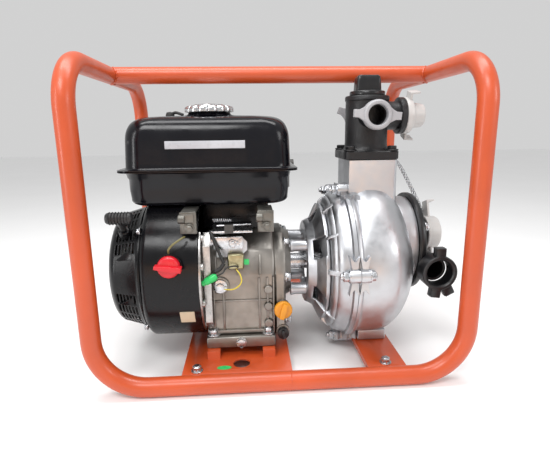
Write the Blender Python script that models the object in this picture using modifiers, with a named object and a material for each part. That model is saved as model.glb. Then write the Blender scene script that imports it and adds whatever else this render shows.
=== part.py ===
"""Portable fire pump: a single-cylinder petrol engine driving a centrifugal pump, in a tube frame.

Frame: +X runs from the recoil starter to the pump inlet, -Y faces the operator (the switch side), +Z is up.
The origin is on the ground, under the centre of the frame. Sizes are in millimetres; MM turns them
into metres.
"""

import math

import bmesh
import bpy
from mathutils import Euler, Matrix, Vector

MM = 0.001
GAP = 0.35  # clearance between neighbouring pieces
WELD = 0.00001  # metres, merge distance of every modifier and clean-up

# Driving dimensions -------------------------------------------------------------------------------------
FRAME_X = 249.0  # half the width between tube axes
FRAME_Y = 183.5  # half the depth between tube axes
FRAME_TOP = 428.3  # height of the upper tube axes
TUBE = 12.7  # tube radius
BOTTOM_BEND = 68.0
TOP_BEND = 58.0
WELD_X = 9.0  # where the two hoops meet under the engine
CROSSBAR_Y = 2.0

PLATE_TOP = 21.0
PLATE = 3.0
ENGINE_PLATE_X = (-139.0, 12.0)
PUMP_PLATE_X = (118.0, 172.0)
BOLT_Y = 163.0  # plate bolts, in front and behind

ENGINE_BASE = 33.0
CRANK_Y = -46.0
CRANK_Z = ENGINE_BASE + 106.0
BORE_X = -58.0  # plane of the cylinder
MOUNT_DX = 40.0  # half the spacing of the engine's feet
FRONT_FOOT_Y = -114.0
REAR_FOOT_Y = 48.0
CYLINDER_TILT = 25.0  # degrees above the horizontal, towards the rear
CRANK_THROW = 22.5
PISTON_PIN = 80.0  # distance from the crank axis at the top of the stroke
CASE_X = (-107.0, -8.0)
PTO_X = 18.0

FAN_X = (-192.0, -113.0)
FAN_R = 106.0
FAN_FRONT_Y = -151.0
RECOIL_X = -246.0

TANK_X = -98.0
TANK_Y = -9.0
SEAM_Z = 290.0
TANK_CAP_Y = -30.0

JOINT_X = 104.0  # parting plane of the pump casing
LUG_R = 121.0
LUG_ANGLES = (6.0, 76.0, 120.0, 186.0, 235.0, 283.0)
OUTLET_X = 138.5
NECK_HALF = 39.0
OUTLET_Z = 363.0
COVER_X = 204.0
COVER_Z = 169.0
SUCTION_Z = 180.0
BRANCH_X = 224.0
BRANCH_Z = 144.0
BRANCH_END_Y = -123.0

TURN = {
    "X": Euler((0, math.pi / 2, 0)),
    "Y": Euler((-math.pi / 2, 0, 0)),
    "Z": Euler((0, 0, 0)),
    "-X": Euler((0, -math.pi / 2, 0)),
    "-Y": Euler((math.pi / 2, 0, 0)),
}


# Scene, materials and shape helpers ---------------------------------------------------------------------
def clear_scene():
    for obj in list(bpy.data.objects):
        bpy.data.objects.remove(obj, do_unlink=True)


def new_collection(name):
    made = bpy.data.collections.new(name)
    bpy.context.scene.collection.children.link(made)
    return made


def new_material(name, colour, metallic, roughness):
    made = bpy.data.materials.new(name)
    made.use_nodes = True
    shader = made.node_tree.nodes["Principled BSDF"]
    shader.inputs["Base Color"].default_value = (*colour, 1.0)
    shader.inputs["Metallic"].default_value = metallic
    shader.inputs["Roughness"].default_value = roughness
    return made


clear_scene()
PARTS = new_collection("portable_fire_pump")
TOOLS = new_collection("cutters")
ORANGE = new_material("orange_paint", (0.70, 0.13, 0.04), 0.0, 0.4)
BLACK = new_material("gloss_black", (0.012, 0.012, 0.014), 0.0, 0.15)
PLASTIC = new_material("black_plastic", (0.02, 0.02, 0.022), 0.0, 0.45)
CAST = new_material("cast_aluminium", (0.62, 0.62, 0.63), 1.0, 0.4)
STEEL = new_material("zinc_steel", (0.55, 0.55, 0.55), 1.0, 0.3)
GREY = new_material("grey_nylon", (0.55, 0.55, 0.56), 0.0, 0.45)
RED = new_material("red_plastic", (0.62, 0.01, 0.02), 0.0, 0.35)
YELLOW = new_material("yellow_plastic", (0.72, 0.30, 0.01), 0.0, 0.4)
IRON = new_material("dark_iron", (0.12, 0.12, 0.12), 1.0, 0.55)
RUBBER = new_material("black_rubber", (0.02, 0.02, 0.02), 0.0, 0.8)
OLIVE = new_material("olive_plating", (0.36, 0.31, 0.14), 1.0, 0.4)
GREEN = new_material("green_plastic", (0.02, 0.35, 0.12), 0.0, 0.4)


def adopt(name, mesh, centre, turn, material):
    """Make an object of a mesh, as a sub-part when it has a material and as a shaping tool when not."""
    obj = bpy.data.objects.new(name, mesh)
    obj.location = Vector(centre) * MM
    obj.rotation_euler = turn
    if material is None:
        TOOLS.objects.link(obj)
        obj.hide_render = True
        obj.display_type = "WIRE"
    else:
        mesh.materials.append(material)
        PARTS.objects.link(obj)
    return obj


def mesh_of(name, shape, smooth=False):
    mesh = bpy.data.meshes.new(name)
    shape.to_mesh(mesh)
    shape.free()
    if smooth:
        mesh.shade_smooth()
        mesh.set_sharp_from_angle(angle=math.radians(35))
    return mesh


def block(name, size, centre, material=None, bevel=0.0, turn=TURN["Z"]):
    shape = bmesh.new()
    bmesh.ops.create_cube(shape, size=1.0, matrix=Matrix.Diagonal((*(Vector(size) * MM), 1.0)))
    obj = adopt(name, mesh_of(name, shape), centre, turn, material)
    round_edges(obj, bevel)
    return obj


def span(name, x, y, z, material=None, bevel=0.0):
    """A block given by its limits along each axis."""
    size = (x[1] - x[0], y[1] - y[0], z[1] - z[0])
    centre = ((x[0] + x[1]) / 2, (y[0] + y[1]) / 2, (z[0] + z[1]) / 2)
    return block(name, size, centre, material, bevel)


def cylinder(name, radius, start, length, axis, material=None, sides=20, end_radius=None, bevel=0.0):
    """A cylinder or cone that begins at start and runs its length along the axis."""
    shape = bmesh.new()
    far_radius = radius if end_radius is None else end_radius
    bmesh.ops.create_cone(
        shape, cap_ends=True, segments=sides, radius1=radius * MM, radius2=far_radius * MM,
        depth=length * MM, matrix=Matrix.Translation((0, 0, length * MM / 2)),
    )
    obj = adopt(name, mesh_of(name, shape, smooth=sides > 8), start, TURN[axis], material)
    round_edges(obj, bevel)
    return obj


def round_edges(obj, width, segments=1):
    if width > 0:
        bevel = obj.modifiers.new("rounded edges", "BEVEL")
        bevel.width = width * MM
        bevel.segments = segments
        bevel.limit_method = "ANGLE"


def turned(name, profile, start, axis, material=None, steps=24):
    """Turn a profile of (radius, height) points, top to bottom down its outer side, about the axis.

    A profile that does not reach the axis is closed into a ring.
    """
    mesh = bpy.data.meshes.new(name)
    count = len(profile)
    points = [(radius * MM, 0, height * MM) for radius, height in profile]
    edges = [(i, i + 1) for i in range(count - 1)]
    if profile[0][0] > 0:
        edges.append((count - 1, 0))
    mesh.from_pydata(points, edges, [])
    obj = adopt(name, mesh, start, TURN[axis], material)
    screw = obj.modifiers.new("turn", "SCREW")
    screw.steps = steps
    screw.render_steps = steps
    screw.use_merge_vertices = True
    screw.merge_threshold = WELD
    screw.use_smooth_shade = False
    return obj


def welded(curve_object, material):
    """Swap a curve object for a mesh object with its caps welded on."""
    name = curve_object.name
    mesh = bpy.data.meshes.new_from_object(curve_object.evaluated_get(bpy.context.evaluated_depsgraph_get()))
    shape = bmesh.new()
    shape.from_mesh(mesh)
    bmesh.ops.remove_doubles(shape, verts=shape.verts, dist=WELD)
    bmesh.ops.recalc_face_normals(shape, faces=shape.faces)
    mesh.materials.clear()
    matrix = curve_object.matrix_world.copy()
    data = curve_object.data
    bpy.data.objects.remove(curve_object)
    bpy.data.curves.remove(data)
    bpy.data.meshes.remove(mesh)
    obj = adopt(name, mesh_of(name, shape), (0, 0, 0), TURN["Z"], material)
    obj.matrix_world = matrix
    return obj


def curve_object(name, splines, closed, dimensions):
    curve = bpy.data.curves.new(name, "CURVE")
    curve.dimensions = dimensions
    for points in splines:
        spline = curve.splines.new("POLY")
        spline.points.add(len(points) - 1)
        for point, place in zip(spline.points, points):
            point.co = (*(Vector(place) * MM).to_3d(), 1.0)
        spline.use_cyclic_u = closed
    obj = bpy.data.objects.new(name, curve)
    PARTS.objects.link(obj)
    return obj


def tube(name, points, radius, material, resolution=4):
    """A round tube or wire along points, left as a curve with filled caps."""
    obj = curve_object(name, [points], False, "3D")
    obj.data.bevel_depth = radius * MM
    obj.data.bevel_resolution = resolution
    obj.data.use_fill_caps = True
    if material is not None:
        obj.data.materials.append(material)
    return obj


def tube_mesh(name, points, radius, material=None, resolution=4):
    obj = tube(name, points, radius, None, resolution)
    bpy.context.view_layer.update()
    return welded(obj, material)


def outline(name, splines, thickness, centre, axis, material=None, bevel=0.0):
    """A flat outline, with any inner outlines as holes, extruded about the centre along the axis."""
    obj = curve_object(name, splines, True, "2D")
    obj.data.fill_mode = "BOTH"
    obj.data.extrude = thickness * MM / 2
    obj.location = Vector(centre) * MM
    obj.rotation_euler = TURN[axis]
    bpy.context.view_layer.update()
    made = welded(obj, material)
    round_edges(made, bevel)
    return made


def apply_boolean(target, tools, operation):
    for tool in tools:
        step = target.modifiers.new(f"{operation.lower()} {tool.name}", "BOOLEAN")
        step.operation = operation
        step.solver = "EXACT"
        step.object = tool


def cut(target, *tools):
    apply_boolean(target, tools, "DIFFERENCE")
    return target


def join(target, *tools):
    apply_boolean(target, tools, "UNION")
    return target


def loft(name, rings, material=None, ring_loop=False):
    """A skin through rings of points of equal number, with end caps or closed on itself."""
    shape = bmesh.new()
    loops = [[shape.verts.new(Vector(p) * MM) for p in ring] for ring in rings]
    pairs = list(zip(loops, loops[1:]))
    if ring_loop:
        pairs.append((loops[-1], loops[0]))
    count = len(rings[0])
    for low, high in pairs:
        for i in range(count):
            j = (i + 1) % count
            shape.faces.new((low[i], low[j], high[j], high[i]))
    if not ring_loop:
        shape.faces.new(list(reversed(loops[0])))
        shape.faces.new(loops[-1])
    bmesh.ops.recalc_face_normals(shape, faces=shape.faces)
    return adopt(name, mesh_of(name, shape, smooth=True), (0, 0, 0), TURN["Z"], material)


def arc(centre, radius, start, end, steps):
    """Points on an arc in a plane, with angles in degrees."""
    angles = [math.radians(start + (end - start) * i / steps) for i in range(steps + 1)]
    return [(centre[0] + radius * math.cos(a), centre[1] + radius * math.sin(a)) for a in angles]


def rounded_rectangle(half_x, half_y, radius, steps=4):
    corners = ((1, 1, 0), (-1, 1, 90), (-1, -1, 180), (1, -1, 270))
    points = []
    for sx, sy, start in corners:
        centre = (sx * (half_x - radius), sy * (half_y - radius))
        points += arc(centre, radius, start, start + 90, steps)
    return points


def rounded_path(corners, radius_of, steps):
    """Replace each inner corner of a 3D path with an arc."""
    points = [Vector(corners[0])]
    for before, corner, after, radius in zip(corners, corners[1:], corners[2:], radius_of):
        corner = Vector(corner)
        back = (Vector(before) - corner).normalized()
        ahead = (Vector(after) - corner).normalized()
        half = back.angle(ahead) / 2
        centre = corner + (back + ahead).normalized() * radius / math.sin(half)
        first = corner + back * radius / math.tan(half)
        last = corner + ahead * radius / math.tan(half)
        for i in range(steps + 1):
            points.append(centre + (first - centre).slerp(last - centre, i / steps).normalized() * radius)
    points.append(Vector(corners[-1]))
    return points


def around(angle, radius):
    """Y and Z of a point about the crank axis; 0 degrees faces the operator and 90 is up."""
    turn = math.radians(angle)
    return CRANK_Y - radius * math.cos(turn), CRANK_Z + radius * math.sin(turn)


def hex_bolt(name, start, axis, across=13.0, head=6.0, material=None):
    """A hexagon head on a washer, sunk a little below start so that it joins what it clamps."""
    direction = TURN[axis].to_matrix() @ Vector((0, 0, 1))
    sunk = Vector(start) - direction * (0 if material else 1.0)
    bolt = cylinder(name, across / math.sqrt(3), sunk, head, axis, material, sides=6)
    return join(bolt, cylinder(f"{name}_washer", across * 0.66, sunk, 2.4, axis, sides=8))


# Frame --------------------------------------------------------------------------------------------------
def frame_hoop(name, side, foot_x):
    corners = [
        (foot_x, -FRAME_Y, TUBE),
        (side * FRAME_X, -FRAME_Y, TUBE),
        (side * FRAME_X, -FRAME_Y, FRAME_TOP),
        (side * FRAME_X, FRAME_Y, FRAME_TOP),
        (side * FRAME_X, FRAME_Y, TUBE),
        (foot_x, FRAME_Y, TUBE),
    ]
    bends = (BOTTOM_BEND, TOP_BEND, TOP_BEND, BOTTOM_BEND)
    return tube(name, rounded_path(corners, bends, 7), TUBE, ORANGE, resolution=2)


def build_crossbar():
    reach = FRAME_X - TUBE / 2
    bar = cylinder("top_crossbar", TUBE, (-reach, CROSSBAR_Y, FRAME_TOP), 2 * reach, "X", ORANGE, sides=16)
    for side in (-1, 1):
        saddle = cylinder(
            f"crossbar_saddle_{side}", TUBE + GAP, (side * FRAME_X, CROSSBAR_Y - 40, FRAME_TOP), 80, "Y",
        )
        cut(bar, saddle)
    return bar


def mounting_plate(name, x_limits):
    """A flat plate with folded edges, cut to sit against the lower frame tubes."""
    reach = FRAME_Y - TUBE / 2
    plate = span(name, x_limits, (-reach, reach), (PLATE_TOP - PLATE, PLATE_TOP), ORANGE)
    lip = 9.0
    lip_reach = FRAME_Y - TUBE - 8
    for i, x in enumerate(x_limits):
        inner = x + (PLATE if i == 0 else -PLATE)
        limits = (min(x, inner), max(x, inner))
        heights = (PLATE_TOP - lip, PLATE_TOP - 1)
        join(plate, span(f"{name}_lip_{i}", limits, (-lip_reach, lip_reach), heights))
    for side in (-1, 1):
        middle = (x_limits[0] - 10, side * FRAME_Y, TUBE)
        reach = x_limits[1] - x_limits[0] + 20
        cut(plate, cylinder(f"{name}_tube_{side}", TUBE + GAP, middle, reach, "X", sides=20))
        bolt_place = (plate_bolt_x(x_limits), side * BOLT_Y, PLATE_TOP)
        join(plate, hex_bolt(f"{name}_bolt_{side}", bolt_place, "Z", across=10))
    return plate


def plate_bolt_x(x_limits):
    """The engine plate's bolts are near its left edge and the pump plate's in its middle."""
    return x_limits[0] + 20 if x_limits == ENGINE_PLATE_X else sum(x_limits) / 2


def build_engine_plate():
    plate = mounting_plate("engine_plate", ENGINE_PLATE_X)
    for side in (-1, 1):
        for row, y in (("front", FRONT_FOOT_Y - 10), ("rear", REAR_FOOT_Y)):
            x = BORE_X + side * MOUNT_DX
            riser = span(
                f"riser_{row}_{side}", (x - 9, x + 9), (y - 10, y + 14), (PLATE_TOP - 1, ENGINE_BASE - GAP),
            )
            join(plate, riser)
    return cut(plate, cylinder("drain_access_hole", 12, (BORE_X, -147, PLATE_TOP - 10), 20, "Z", sides=20))


def build_frame():
    frame_hoop("left_frame_hoop", -1, WELD_X - GAP / 2)
    frame_hoop("right_frame_hoop", 1, WELD_X + GAP / 2)
    build_crossbar()
    build_engine_plate()
    mounting_plate("pump_plate", PUMP_PLATE_X)


# Engine: crankcase and cylinder -------------------------------------------------------------------------
CAM_Y = CRANK_Y + 26.0
CAM_Z = CRANK_Z - 51.0
TILT = math.radians(CYLINDER_TILT)
TILTED = Euler((TILT, 0, 0))  # local +Y runs along the cylinder


def up_cylinder(along, across=0.0, x=BORE_X):
    """A point given along and square to the cylinder axis, measured from the crank axis."""
    y = CRANK_Y + along * math.cos(TILT) - across * math.sin(TILT)
    z = CRANK_Z + along * math.sin(TILT) + across * math.cos(TILT)
    return x, y, z


def tilted_block(name, x_size, along, across, material=None, x=BORE_X, bevel=0.0):
    size = (x_size, along[1] - along[0], across[1] - across[0])
    centre = up_cylinder((along[0] + along[1]) / 2, (across[0] + across[1]) / 2, x)
    return block(name, size, centre, material, bevel, TILTED)


def bore_tool(name, radius, along, x=BORE_X, across=0.0, sides=20):
    tool = cylinder(name, radius, up_cylinder(along[0], across, x), along[1] - along[0], "Z", sides=sides)
    tool.rotation_euler = Euler((TILT - math.pi / 2, 0, 0))
    return tool


def build_crankcase():
    front, back = -112.0, 50.0
    section = [
        (front, 46), (front, 140), (-100, 174), (-70, 196), (-6, 198), (40, 128), (back, 46),
    ]
    # The outline lies in a plane square to X: its first coordinate is -Z and its second is Y.
    points = [(-z, y) for y, z in section]
    width = CASE_X[1] - CASE_X[0]
    case = outline("crankcase", [points], width, (sum(CASE_X) / 2, 0, 0), "X", CAST, bevel=3)
    foot_x = (BORE_X - 50, BORE_X + 50)
    join(
        case,
        span("front_foot", foot_x, (-125, -100), (ENGINE_BASE, ENGINE_BASE + 17), bevel=1.5),
        span("rear_foot", foot_x, (34, 62), (ENGINE_BASE, ENGINE_BASE + 17), bevel=1.5),
        span("case_floor", (CASE_X[0] + 2, CASE_X[1] - 2), (-110, 48), (ENGINE_BASE + 2, 50)),
        tilted_block("barrel", 92, (30, 100), (-42, 44)),
    )
    for i in range(4):
        along = 62 + 10 * i
        join(case, tilted_block(f"barrel_fin_{i}", 97, (along, along + 3.5), (-50, 52)))
    cavity_x = CASE_X[0] + 12
    reach = CASE_X[1] + 10 - cavity_x
    cut(
        case,
        cylinder("crank_cavity", 50, (cavity_x, CRANK_Y, CRANK_Z), reach, "X"),
        cylinder("cam_cavity", 42, (cavity_x, CAM_Y, CAM_Z), reach, "X"),
        cylinder("left_bearing_bore", 14, (CASE_X[0] - 10, CRANK_Y, CRANK_Z), 40, "X"),
        bore_tool("cylinder_bore", 34.3, (20, 112)),
    )
    for side in (-1, 1):
        for row, y, z in (("front", FRONT_FOOT_Y, ENGINE_BASE + 17), ("rear", REAR_FOOT_Y, ENGINE_BASE + 17)):
            place = (BORE_X + side * MOUNT_DX, y, z - 0.5)
            join(case, hex_bolt(f"foot_bolt_{row}_{side}", place, "Z", across=12, head=7))
    return case


def build_side_cover():
    section = [(-110, 42), (-110, 138), (-98, 172), (-69, 193), (-8, 194), (36, 126), (46, 42)]
    points = [(-z, y) for y, z in section]
    x = (CASE_X[1] + GAP, 9.0)
    cover = outline("crankcase_side_cover", [points], x[1] - x[0], (sum(x) / 2, 0, 0), "X", CAST, bevel=3)
    join(
        cover,
        cylinder("pto_boss", 56, (x[1] - 3, CRANK_Y, CRANK_Z), PTO_X - x[1] + 3, "X", end_radius=50),
        cylinder("cam_boss", 24, (x[1] - 3, CAM_Y, CAM_Z), 9, "X", end_radius=20),
        cylinder("filler_neck", 11, (4, -106, 88), 12, "-Y", sides=16),
        cylinder("plug_boss", 10, (4, -106, 50), 7, "-Y", sides=16),
    )
    for i, (y, z) in enumerate(((-102, 66), (-102, 132), (-76, 178), (-14, 184), (30, 112), (36, 56))):
        join(cover, hex_bolt(f"cover_bolt_{i}", (x[1] - 0.5, y, z), "X", across=10, head=6))
    cut(
        cover,
        cylinder("pto_bore", 13.2, (x[0] - 5, CRANK_Y, CRANK_Z), 60, "X"),
        cylinder("cam_pocket", 10, (x[0] - 5, CAM_Y, CAM_Z), 10, "X"),
        cylinder("filler_bore", 8, (4, -104, 88), 30, "-Y", sides=12),
    )
    return cover


def build_cylinder_head():
    head = tilted_block("cylinder_head", 84, (100 + GAP, 138), (-40, 42), CAST)
    for i in range(4):
        across = -34 + 20 * i
        join(head, tilted_block(f"head_fin_{i}", 100, (104, 136), (across, across + 4)))
    join(
        head,
        cylinder("exhaust_port", 14, up_cylinder(118, 30, BORE_X + 24), 26, "Z", sides=16),
        cylinder("intake_port", 13, up_cylinder(120, 8, BORE_X - 40), 14, "-X", sides=16),
    )
    cut(head, bore_tool("combustion_chamber", 30, (90, 112)))
    return cut(head, bore_tool("plug_hole", 7.8, (100, 145), PLUG_X, PLUG_ACROSS, sides=12))


def build_valve_gear_cover():
    cover = tilted_block("rocker_cover", 82, (138 + GAP, 160), (-34, 22), BLACK, bevel=5)
    return cut(cover, tilted_block("rocker_space", 70, (130, 155), (-28, 16)))


PLUG_X = BORE_X - 24
PLUG_ACROSS = 33


def build_spark_plug():
    """Plug body screwed into the head, with its insulator and terminal."""
    x, across = PLUG_X, PLUG_ACROSS
    plug = bore_tool("spark_plug_shell", 6.9, (104, 139), x, across, sides=12)
    plug.name = "spark_plug"
    TOOLS.objects.unlink(plug)
    PARTS.objects.link(plug)
    plug.hide_render = False
    plug.display_type = "TEXTURED"
    plug.data.materials.append(STEEL)
    return join(
        plug,
        bore_tool("plug_hexagon", 10, (138.5, 147), x, across, sides=6),
        bore_tool("plug_insulator", 5, (146, 158), x, across, sides=12),
    )


def build_spark_plug_cap():
    """Rubber cap over the plug, with its moulded lead running to the ignition coil in the fan housing."""
    x, across = PLUG_X, PLUG_ACROSS
    route = [
        (x, 84, 236), (x - 10, 84, 237), (x - 18, 81, 236), (x - 24, 74, 233), (x - 31.2, 60, 222),
        (x - 38, 52, 213), (x - 44, 46, 203),
    ]
    cap = tube_mesh("spark_plug_cap", route, 3.6, RUBBER, resolution=2)
    join(cap, bore_tool("cap_body", 9.5, (148, 174), x, across, sides=16))
    return cut(cap, bore_tool("cap_socket", 5.6, (140, 160), x, across, sides=12))


# Engine: running gear -----------------------------------------------------------------------------------
def build_crankshaft():
    """Shaft from the flywheel taper to the impeller end, with two webs, the crank pin and the timing gear."""
    start, end = -178.0, 126.0
    shaft = cylinder("crankshaft", 12.4, (start, CRANK_Y, CRANK_Z), end - start, "X", STEEL, sides=20)
    pin_y, pin_z = up_cylinder(CRANK_THROW)[1:]
    webs = []
    for i, x in enumerate((BORE_X - 22, BORE_X + 10)):
        webs.append(cylinder(f"crank_web_{i}", 42, (x, CRANK_Y, CRANK_Z), 12, "X"))
    join(
        shaft, *webs,
        cylinder("timing_pinion", 18.5, (-28, CRANK_Y, CRANK_Z), 9, "X", sides=20),
    )
    gap_half = 9.8
    throat = cylinder("crank_throat", 30, (BORE_X - gap_half, CRANK_Y, CRANK_Z), 2 * gap_half, "X")
    cut(shaft, throat)
    return join(shaft, cylinder("crank_pin", 14, (BORE_X - 12, pin_y, pin_z), 24, "X", sides=20))


def build_camshaft():
    cam = cylinder("camshaft", 8, (CASE_X[0] + 13, CAM_Y, CAM_Z), 88, "X", STEEL, sides=16)
    join(
        cam,
        cylinder("cam_gear", 37.5, (-28, CAM_Y, CAM_Z), 9, "X", sides=32),
        cylinder("intake_lobe", 11, (-80, CAM_Y + 4, CAM_Z), 9, "X", sides=16),
        cylinder("exhaust_lobe", 11, (-64, CAM_Y - 4, CAM_Z), 9, "X", sides=16),
    )
    return cam


def build_piston():
    """Piston at the top of its stroke, open below."""
    piston = bore_tool("piston_body", 33.6, (PISTON_PIN - 8, PISTON_PIN + 19.5))
    piston.name = "piston"
    TOOLS.objects.unlink(piston)
    PARTS.objects.link(piston)
    piston.hide_render = False
    piston.display_type = "TEXTURED"
    piston.data.materials.append(CAST)
    return cut(piston, bore_tool("piston_hollow", 28, (PISTON_PIN - 20, PISTON_PIN + 14)))


def build_connecting_rod():
    """Rod hanging from the piston. Its lower eye is open and clears the circle that the crank pin sweeps."""
    rod = tilted_block("connecting_rod", 10, (CRANK_THROW + 17, PISTON_PIN - 3), (-7, 7), CAST)
    eye = cylinder("rod_eye", 10, up_cylinder(PISTON_PIN, 0, BORE_X - 5.2), 10.4, "X", sides=20)
    return join(rod, eye)


def build_flywheel():
    """Flywheel with a ring of cooling blades on its outer face."""
    profile = [(86, 0), (86, -16), (60, -16), (60, -10), (26, -10), (26, -22), (12.9, -22), (12.9, 0)]
    wheel = turned("flywheel", profile, (-150, CRANK_Y, CRANK_Z), "X", IRON, steps=24)
    blades = bmesh.new()
    count = 16
    for i in range(count):
        turn = Matrix.Rotation(2 * math.pi * i / count, 4, "X")
        place = Matrix.Translation((-11 * MM, 0, 70 * MM))
        size = Matrix.Diagonal((16 * MM, 3 * MM, 24 * MM, 1.0))
        bmesh.ops.create_cube(blades, size=1.0, matrix=turn @ place @ size)
    ring = adopt("fan_blades", mesh_of("fan_blades", blades), (-160, CRANK_Y, CRANK_Z), TURN["Z"], None)
    return join(wheel, ring)


# Engine: cowlings and starter ---------------------------------------------------------------------------
def fan_outline(radius, front, rear):
    """Side view of the fan housing: round below and above, flat in front, open towards the cylinder."""
    half = math.degrees(math.acos((CRANK_Y - front) / radius))
    lower = arc((-CRANK_Z, CRANK_Y), radius, 0, -90 + half, 12)
    upper = arc((-CRANK_Z, CRANK_Y), radius, -90 - half, -180, 12)
    return [(-CRANK_Z + radius - 18, rear), (-CRANK_Z + radius, rear - 22), *lower, *upper,
            (-CRANK_Z - radius, rear - 22), (-CRANK_Z - radius + 18, rear)]


def build_fan_housing():
    wall = 2.5
    length = FAN_X[1] - FAN_X[0]
    centre = (sum(FAN_X) / 2, 0, 0)
    edge = fan_outline(FAN_R, FAN_FRONT_Y, 78)
    housing = outline("fan_housing", [edge], length, centre, "X", BLACK, bevel=6)
    inner = outline(
        "fan_space", [fan_outline(FAN_R - wall, FAN_FRONT_Y + wall, 78 - wall)], length, (centre[0] + wall, 0, 0), "X",
    )
    opening = cylinder("starter_opening", 88, (FAN_X[0] - 10, CRANK_Y, CRANK_Z), 20, "X", sides=32)
    switch_hole = cylinder("switch_hole", 9, (-150, FAN_FRONT_Y - 5, 169), 20, "Y", sides=12)
    for tool in (inner, opening, switch_hole):
        tool.hide_render = True
        tool.display_type = "WIRE"
    return cut(housing, inner, opening, switch_hole)


def build_recoil_cover():
    """Domed cover, open towards the flywheel, with a hole where the rope comes out."""
    rim = FAN_X[0] - GAP
    depth = rim - RECOIL_X
    wall = 2.5
    outer = [
        (0, depth), (50, depth - 1), (74, depth - 5), (84, depth - 16), (89, depth - 32), (92, 9), (97, 3),
        (97, 0),
    ]
    inner = [
        (94 - wall, 0), (89 - wall, 9), (86 - wall, depth - 32), (80 - wall, depth - 17),
        (71, depth - 5 - wall),
    ]
    profile = [*outer, *inner, (48, depth - 1 - wall), (0, depth - wall)]
    cover = turned("recoil_cover", profile, (rim, CRANK_Y, CRANK_Z), "-X", BLACK, steps=24)
    post = cylinder("pulley_post", 7, (RECOIL_X + 1.5, CRANK_Y, CRANK_Z), 42, "X", sides=16)
    y, z = around(48, 80)
    rope_hole = cylinder("rope_hole", 4, (-214, y, z), 40, "Z", sides=12)
    rope_hole.rotation_euler = Euler((math.radians(42), 0, 0))
    return cut(join(cover, post), rope_hole)


def build_starter_pulley():
    profile = [(34, 14), (34, 11), (27, 11), (27, 3), (34, 3), (34, 0), (7.4, 0), (7.4, 14)]
    return turned("starter_pulley", profile, (-234, CRANK_Y, CRANK_Z), "X", PLASTIC, steps=24)


def build_starter_grip():
    """Pull grip at the rope hole, lying along the engine, with a short stem towards the cover."""
    y, z = around(48, 124)
    grip = cylinder("starter_grip", 9, (-235, y, z), 38, "X", PLASTIC, sides=16)
    stem = cylinder("grip_stem", 6, (-214, y, z), 26, "Z", sides=16, end_radius=4)
    stem.rotation_euler = Euler((math.radians(42) + math.pi, 0, 0))
    return join(grip, stem)


def build_engine_switch():
    switch = cylinder("engine_switch", 15, (-150, FAN_FRONT_Y - GAP, 169), 9, "-Y", RED, sides=20)
    tilt = Euler((0, math.radians(8), 0))
    handle = block("switch_handle", (36, 9, 8), (-150, FAN_FRONT_Y - 11, 169), bevel=2, turn=tilt)
    return join(switch, handle, cylinder("switch_stem", 6, (-150, FAN_FRONT_Y + 8, 169), 12, "-Y", sides=12))


def build_side_stay():
    """Bare steel edge guard between the fan housing and the crankcase."""
    section = [
        (-114, 206), (-132, 190), (-132, 78), (-118, 64), (-115.5, 65), (-129.5, 79), (-129.5, 189),
        (-113, 203),
    ]
    points = [(-z, y) for y, z in section]
    return outline("side_stay", [points], 10, (-102, -1.5, 0), "X", STEEL)


# Engine: tank -------------------------------------------------------------------------------------------
def tank_ring(half_x, half_y, corner, z, dip=0.0):
    """Rounded rectangle about the tank's centre. dip lowers its front edge and leaves the rear edge."""
    outline_points = rounded_rectangle(half_x, half_y, corner, 4)
    return [(TANK_X + x, TANK_Y + y, z - dip * (half_y - y) / (2 * half_y)) for x, y in outline_points]


def build_tank_upper():
    wall = 2.0
    neck_y = TANK_CAP_Y - TANK_Y
    outer = [
        tank_ring(127, 99, 22, SEAM_Z + GAP / 2), tank_ring(127, 99, 22, SEAM_Z + 2),
        tank_ring(118, 90, 26, SEAM_Z + 4), tank_ring(117, 89, 26, 339), tank_ring(114, 86, 28, 351),
        tank_ring(106, 78, 32, 360), tank_ring(90, 68, 38, 365),
        [(x, y + neck_y * 0.6, z) for x, y, z in tank_ring(40, 40, 39.5, 367)],
        [(x, y + neck_y, z) for x, y, z in tank_ring(32, 32, 31.9, 371)],
    ]
    inner = [
        [(x, y + neck_y, z) for x, y, z in tank_ring(27, 27, 26.9, 371)],
        [(x, y + neck_y, z) for x, y, z in tank_ring(27, 27, 26.9, 365.5)],
        tank_ring(86, 64, 36, 363), tank_ring(104 - wall, 76 - wall, 30, 357.5),
        tank_ring(113 - wall, 85 - wall, 26, 348), tank_ring(117 - wall, 89 - wall, 24, 337),
        tank_ring(118 - wall, 90 - wall, 24, SEAM_Z + GAP / 2),
    ]
    return loft("fuel_tank_upper", outer + inner, BLACK, ring_loop=True)


def build_tank_lower():
    wall = 2.0
    dip = 7.0
    inner = [
        tank_ring(90, 56, 18, 249.2), tank_ring(106, 78, 24, 249, dip),
        tank_ring(112, 84, 24, 256, dip),
        tank_ring(118 - wall, 90 - wall, 24, SEAM_Z - 6),
        tank_ring(118 - wall, 90 - wall, 24, SEAM_Z - GAP / 2),
    ]
    outer = [
        tank_ring(127, 99, 22, SEAM_Z - GAP / 2), tank_ring(127, 99, 22, SEAM_Z - 2),
        tank_ring(118, 90, 26, SEAM_Z - 4), tank_ring(116, 88, 26, 272),
        tank_ring(114, 86, 26, 254, dip),
        tank_ring(108, 80, 26, 247, dip), tank_ring(92, 58, 20, 247),
    ]
    return loft("fuel_tank_lower", inner + outer, BLACK)


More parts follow.
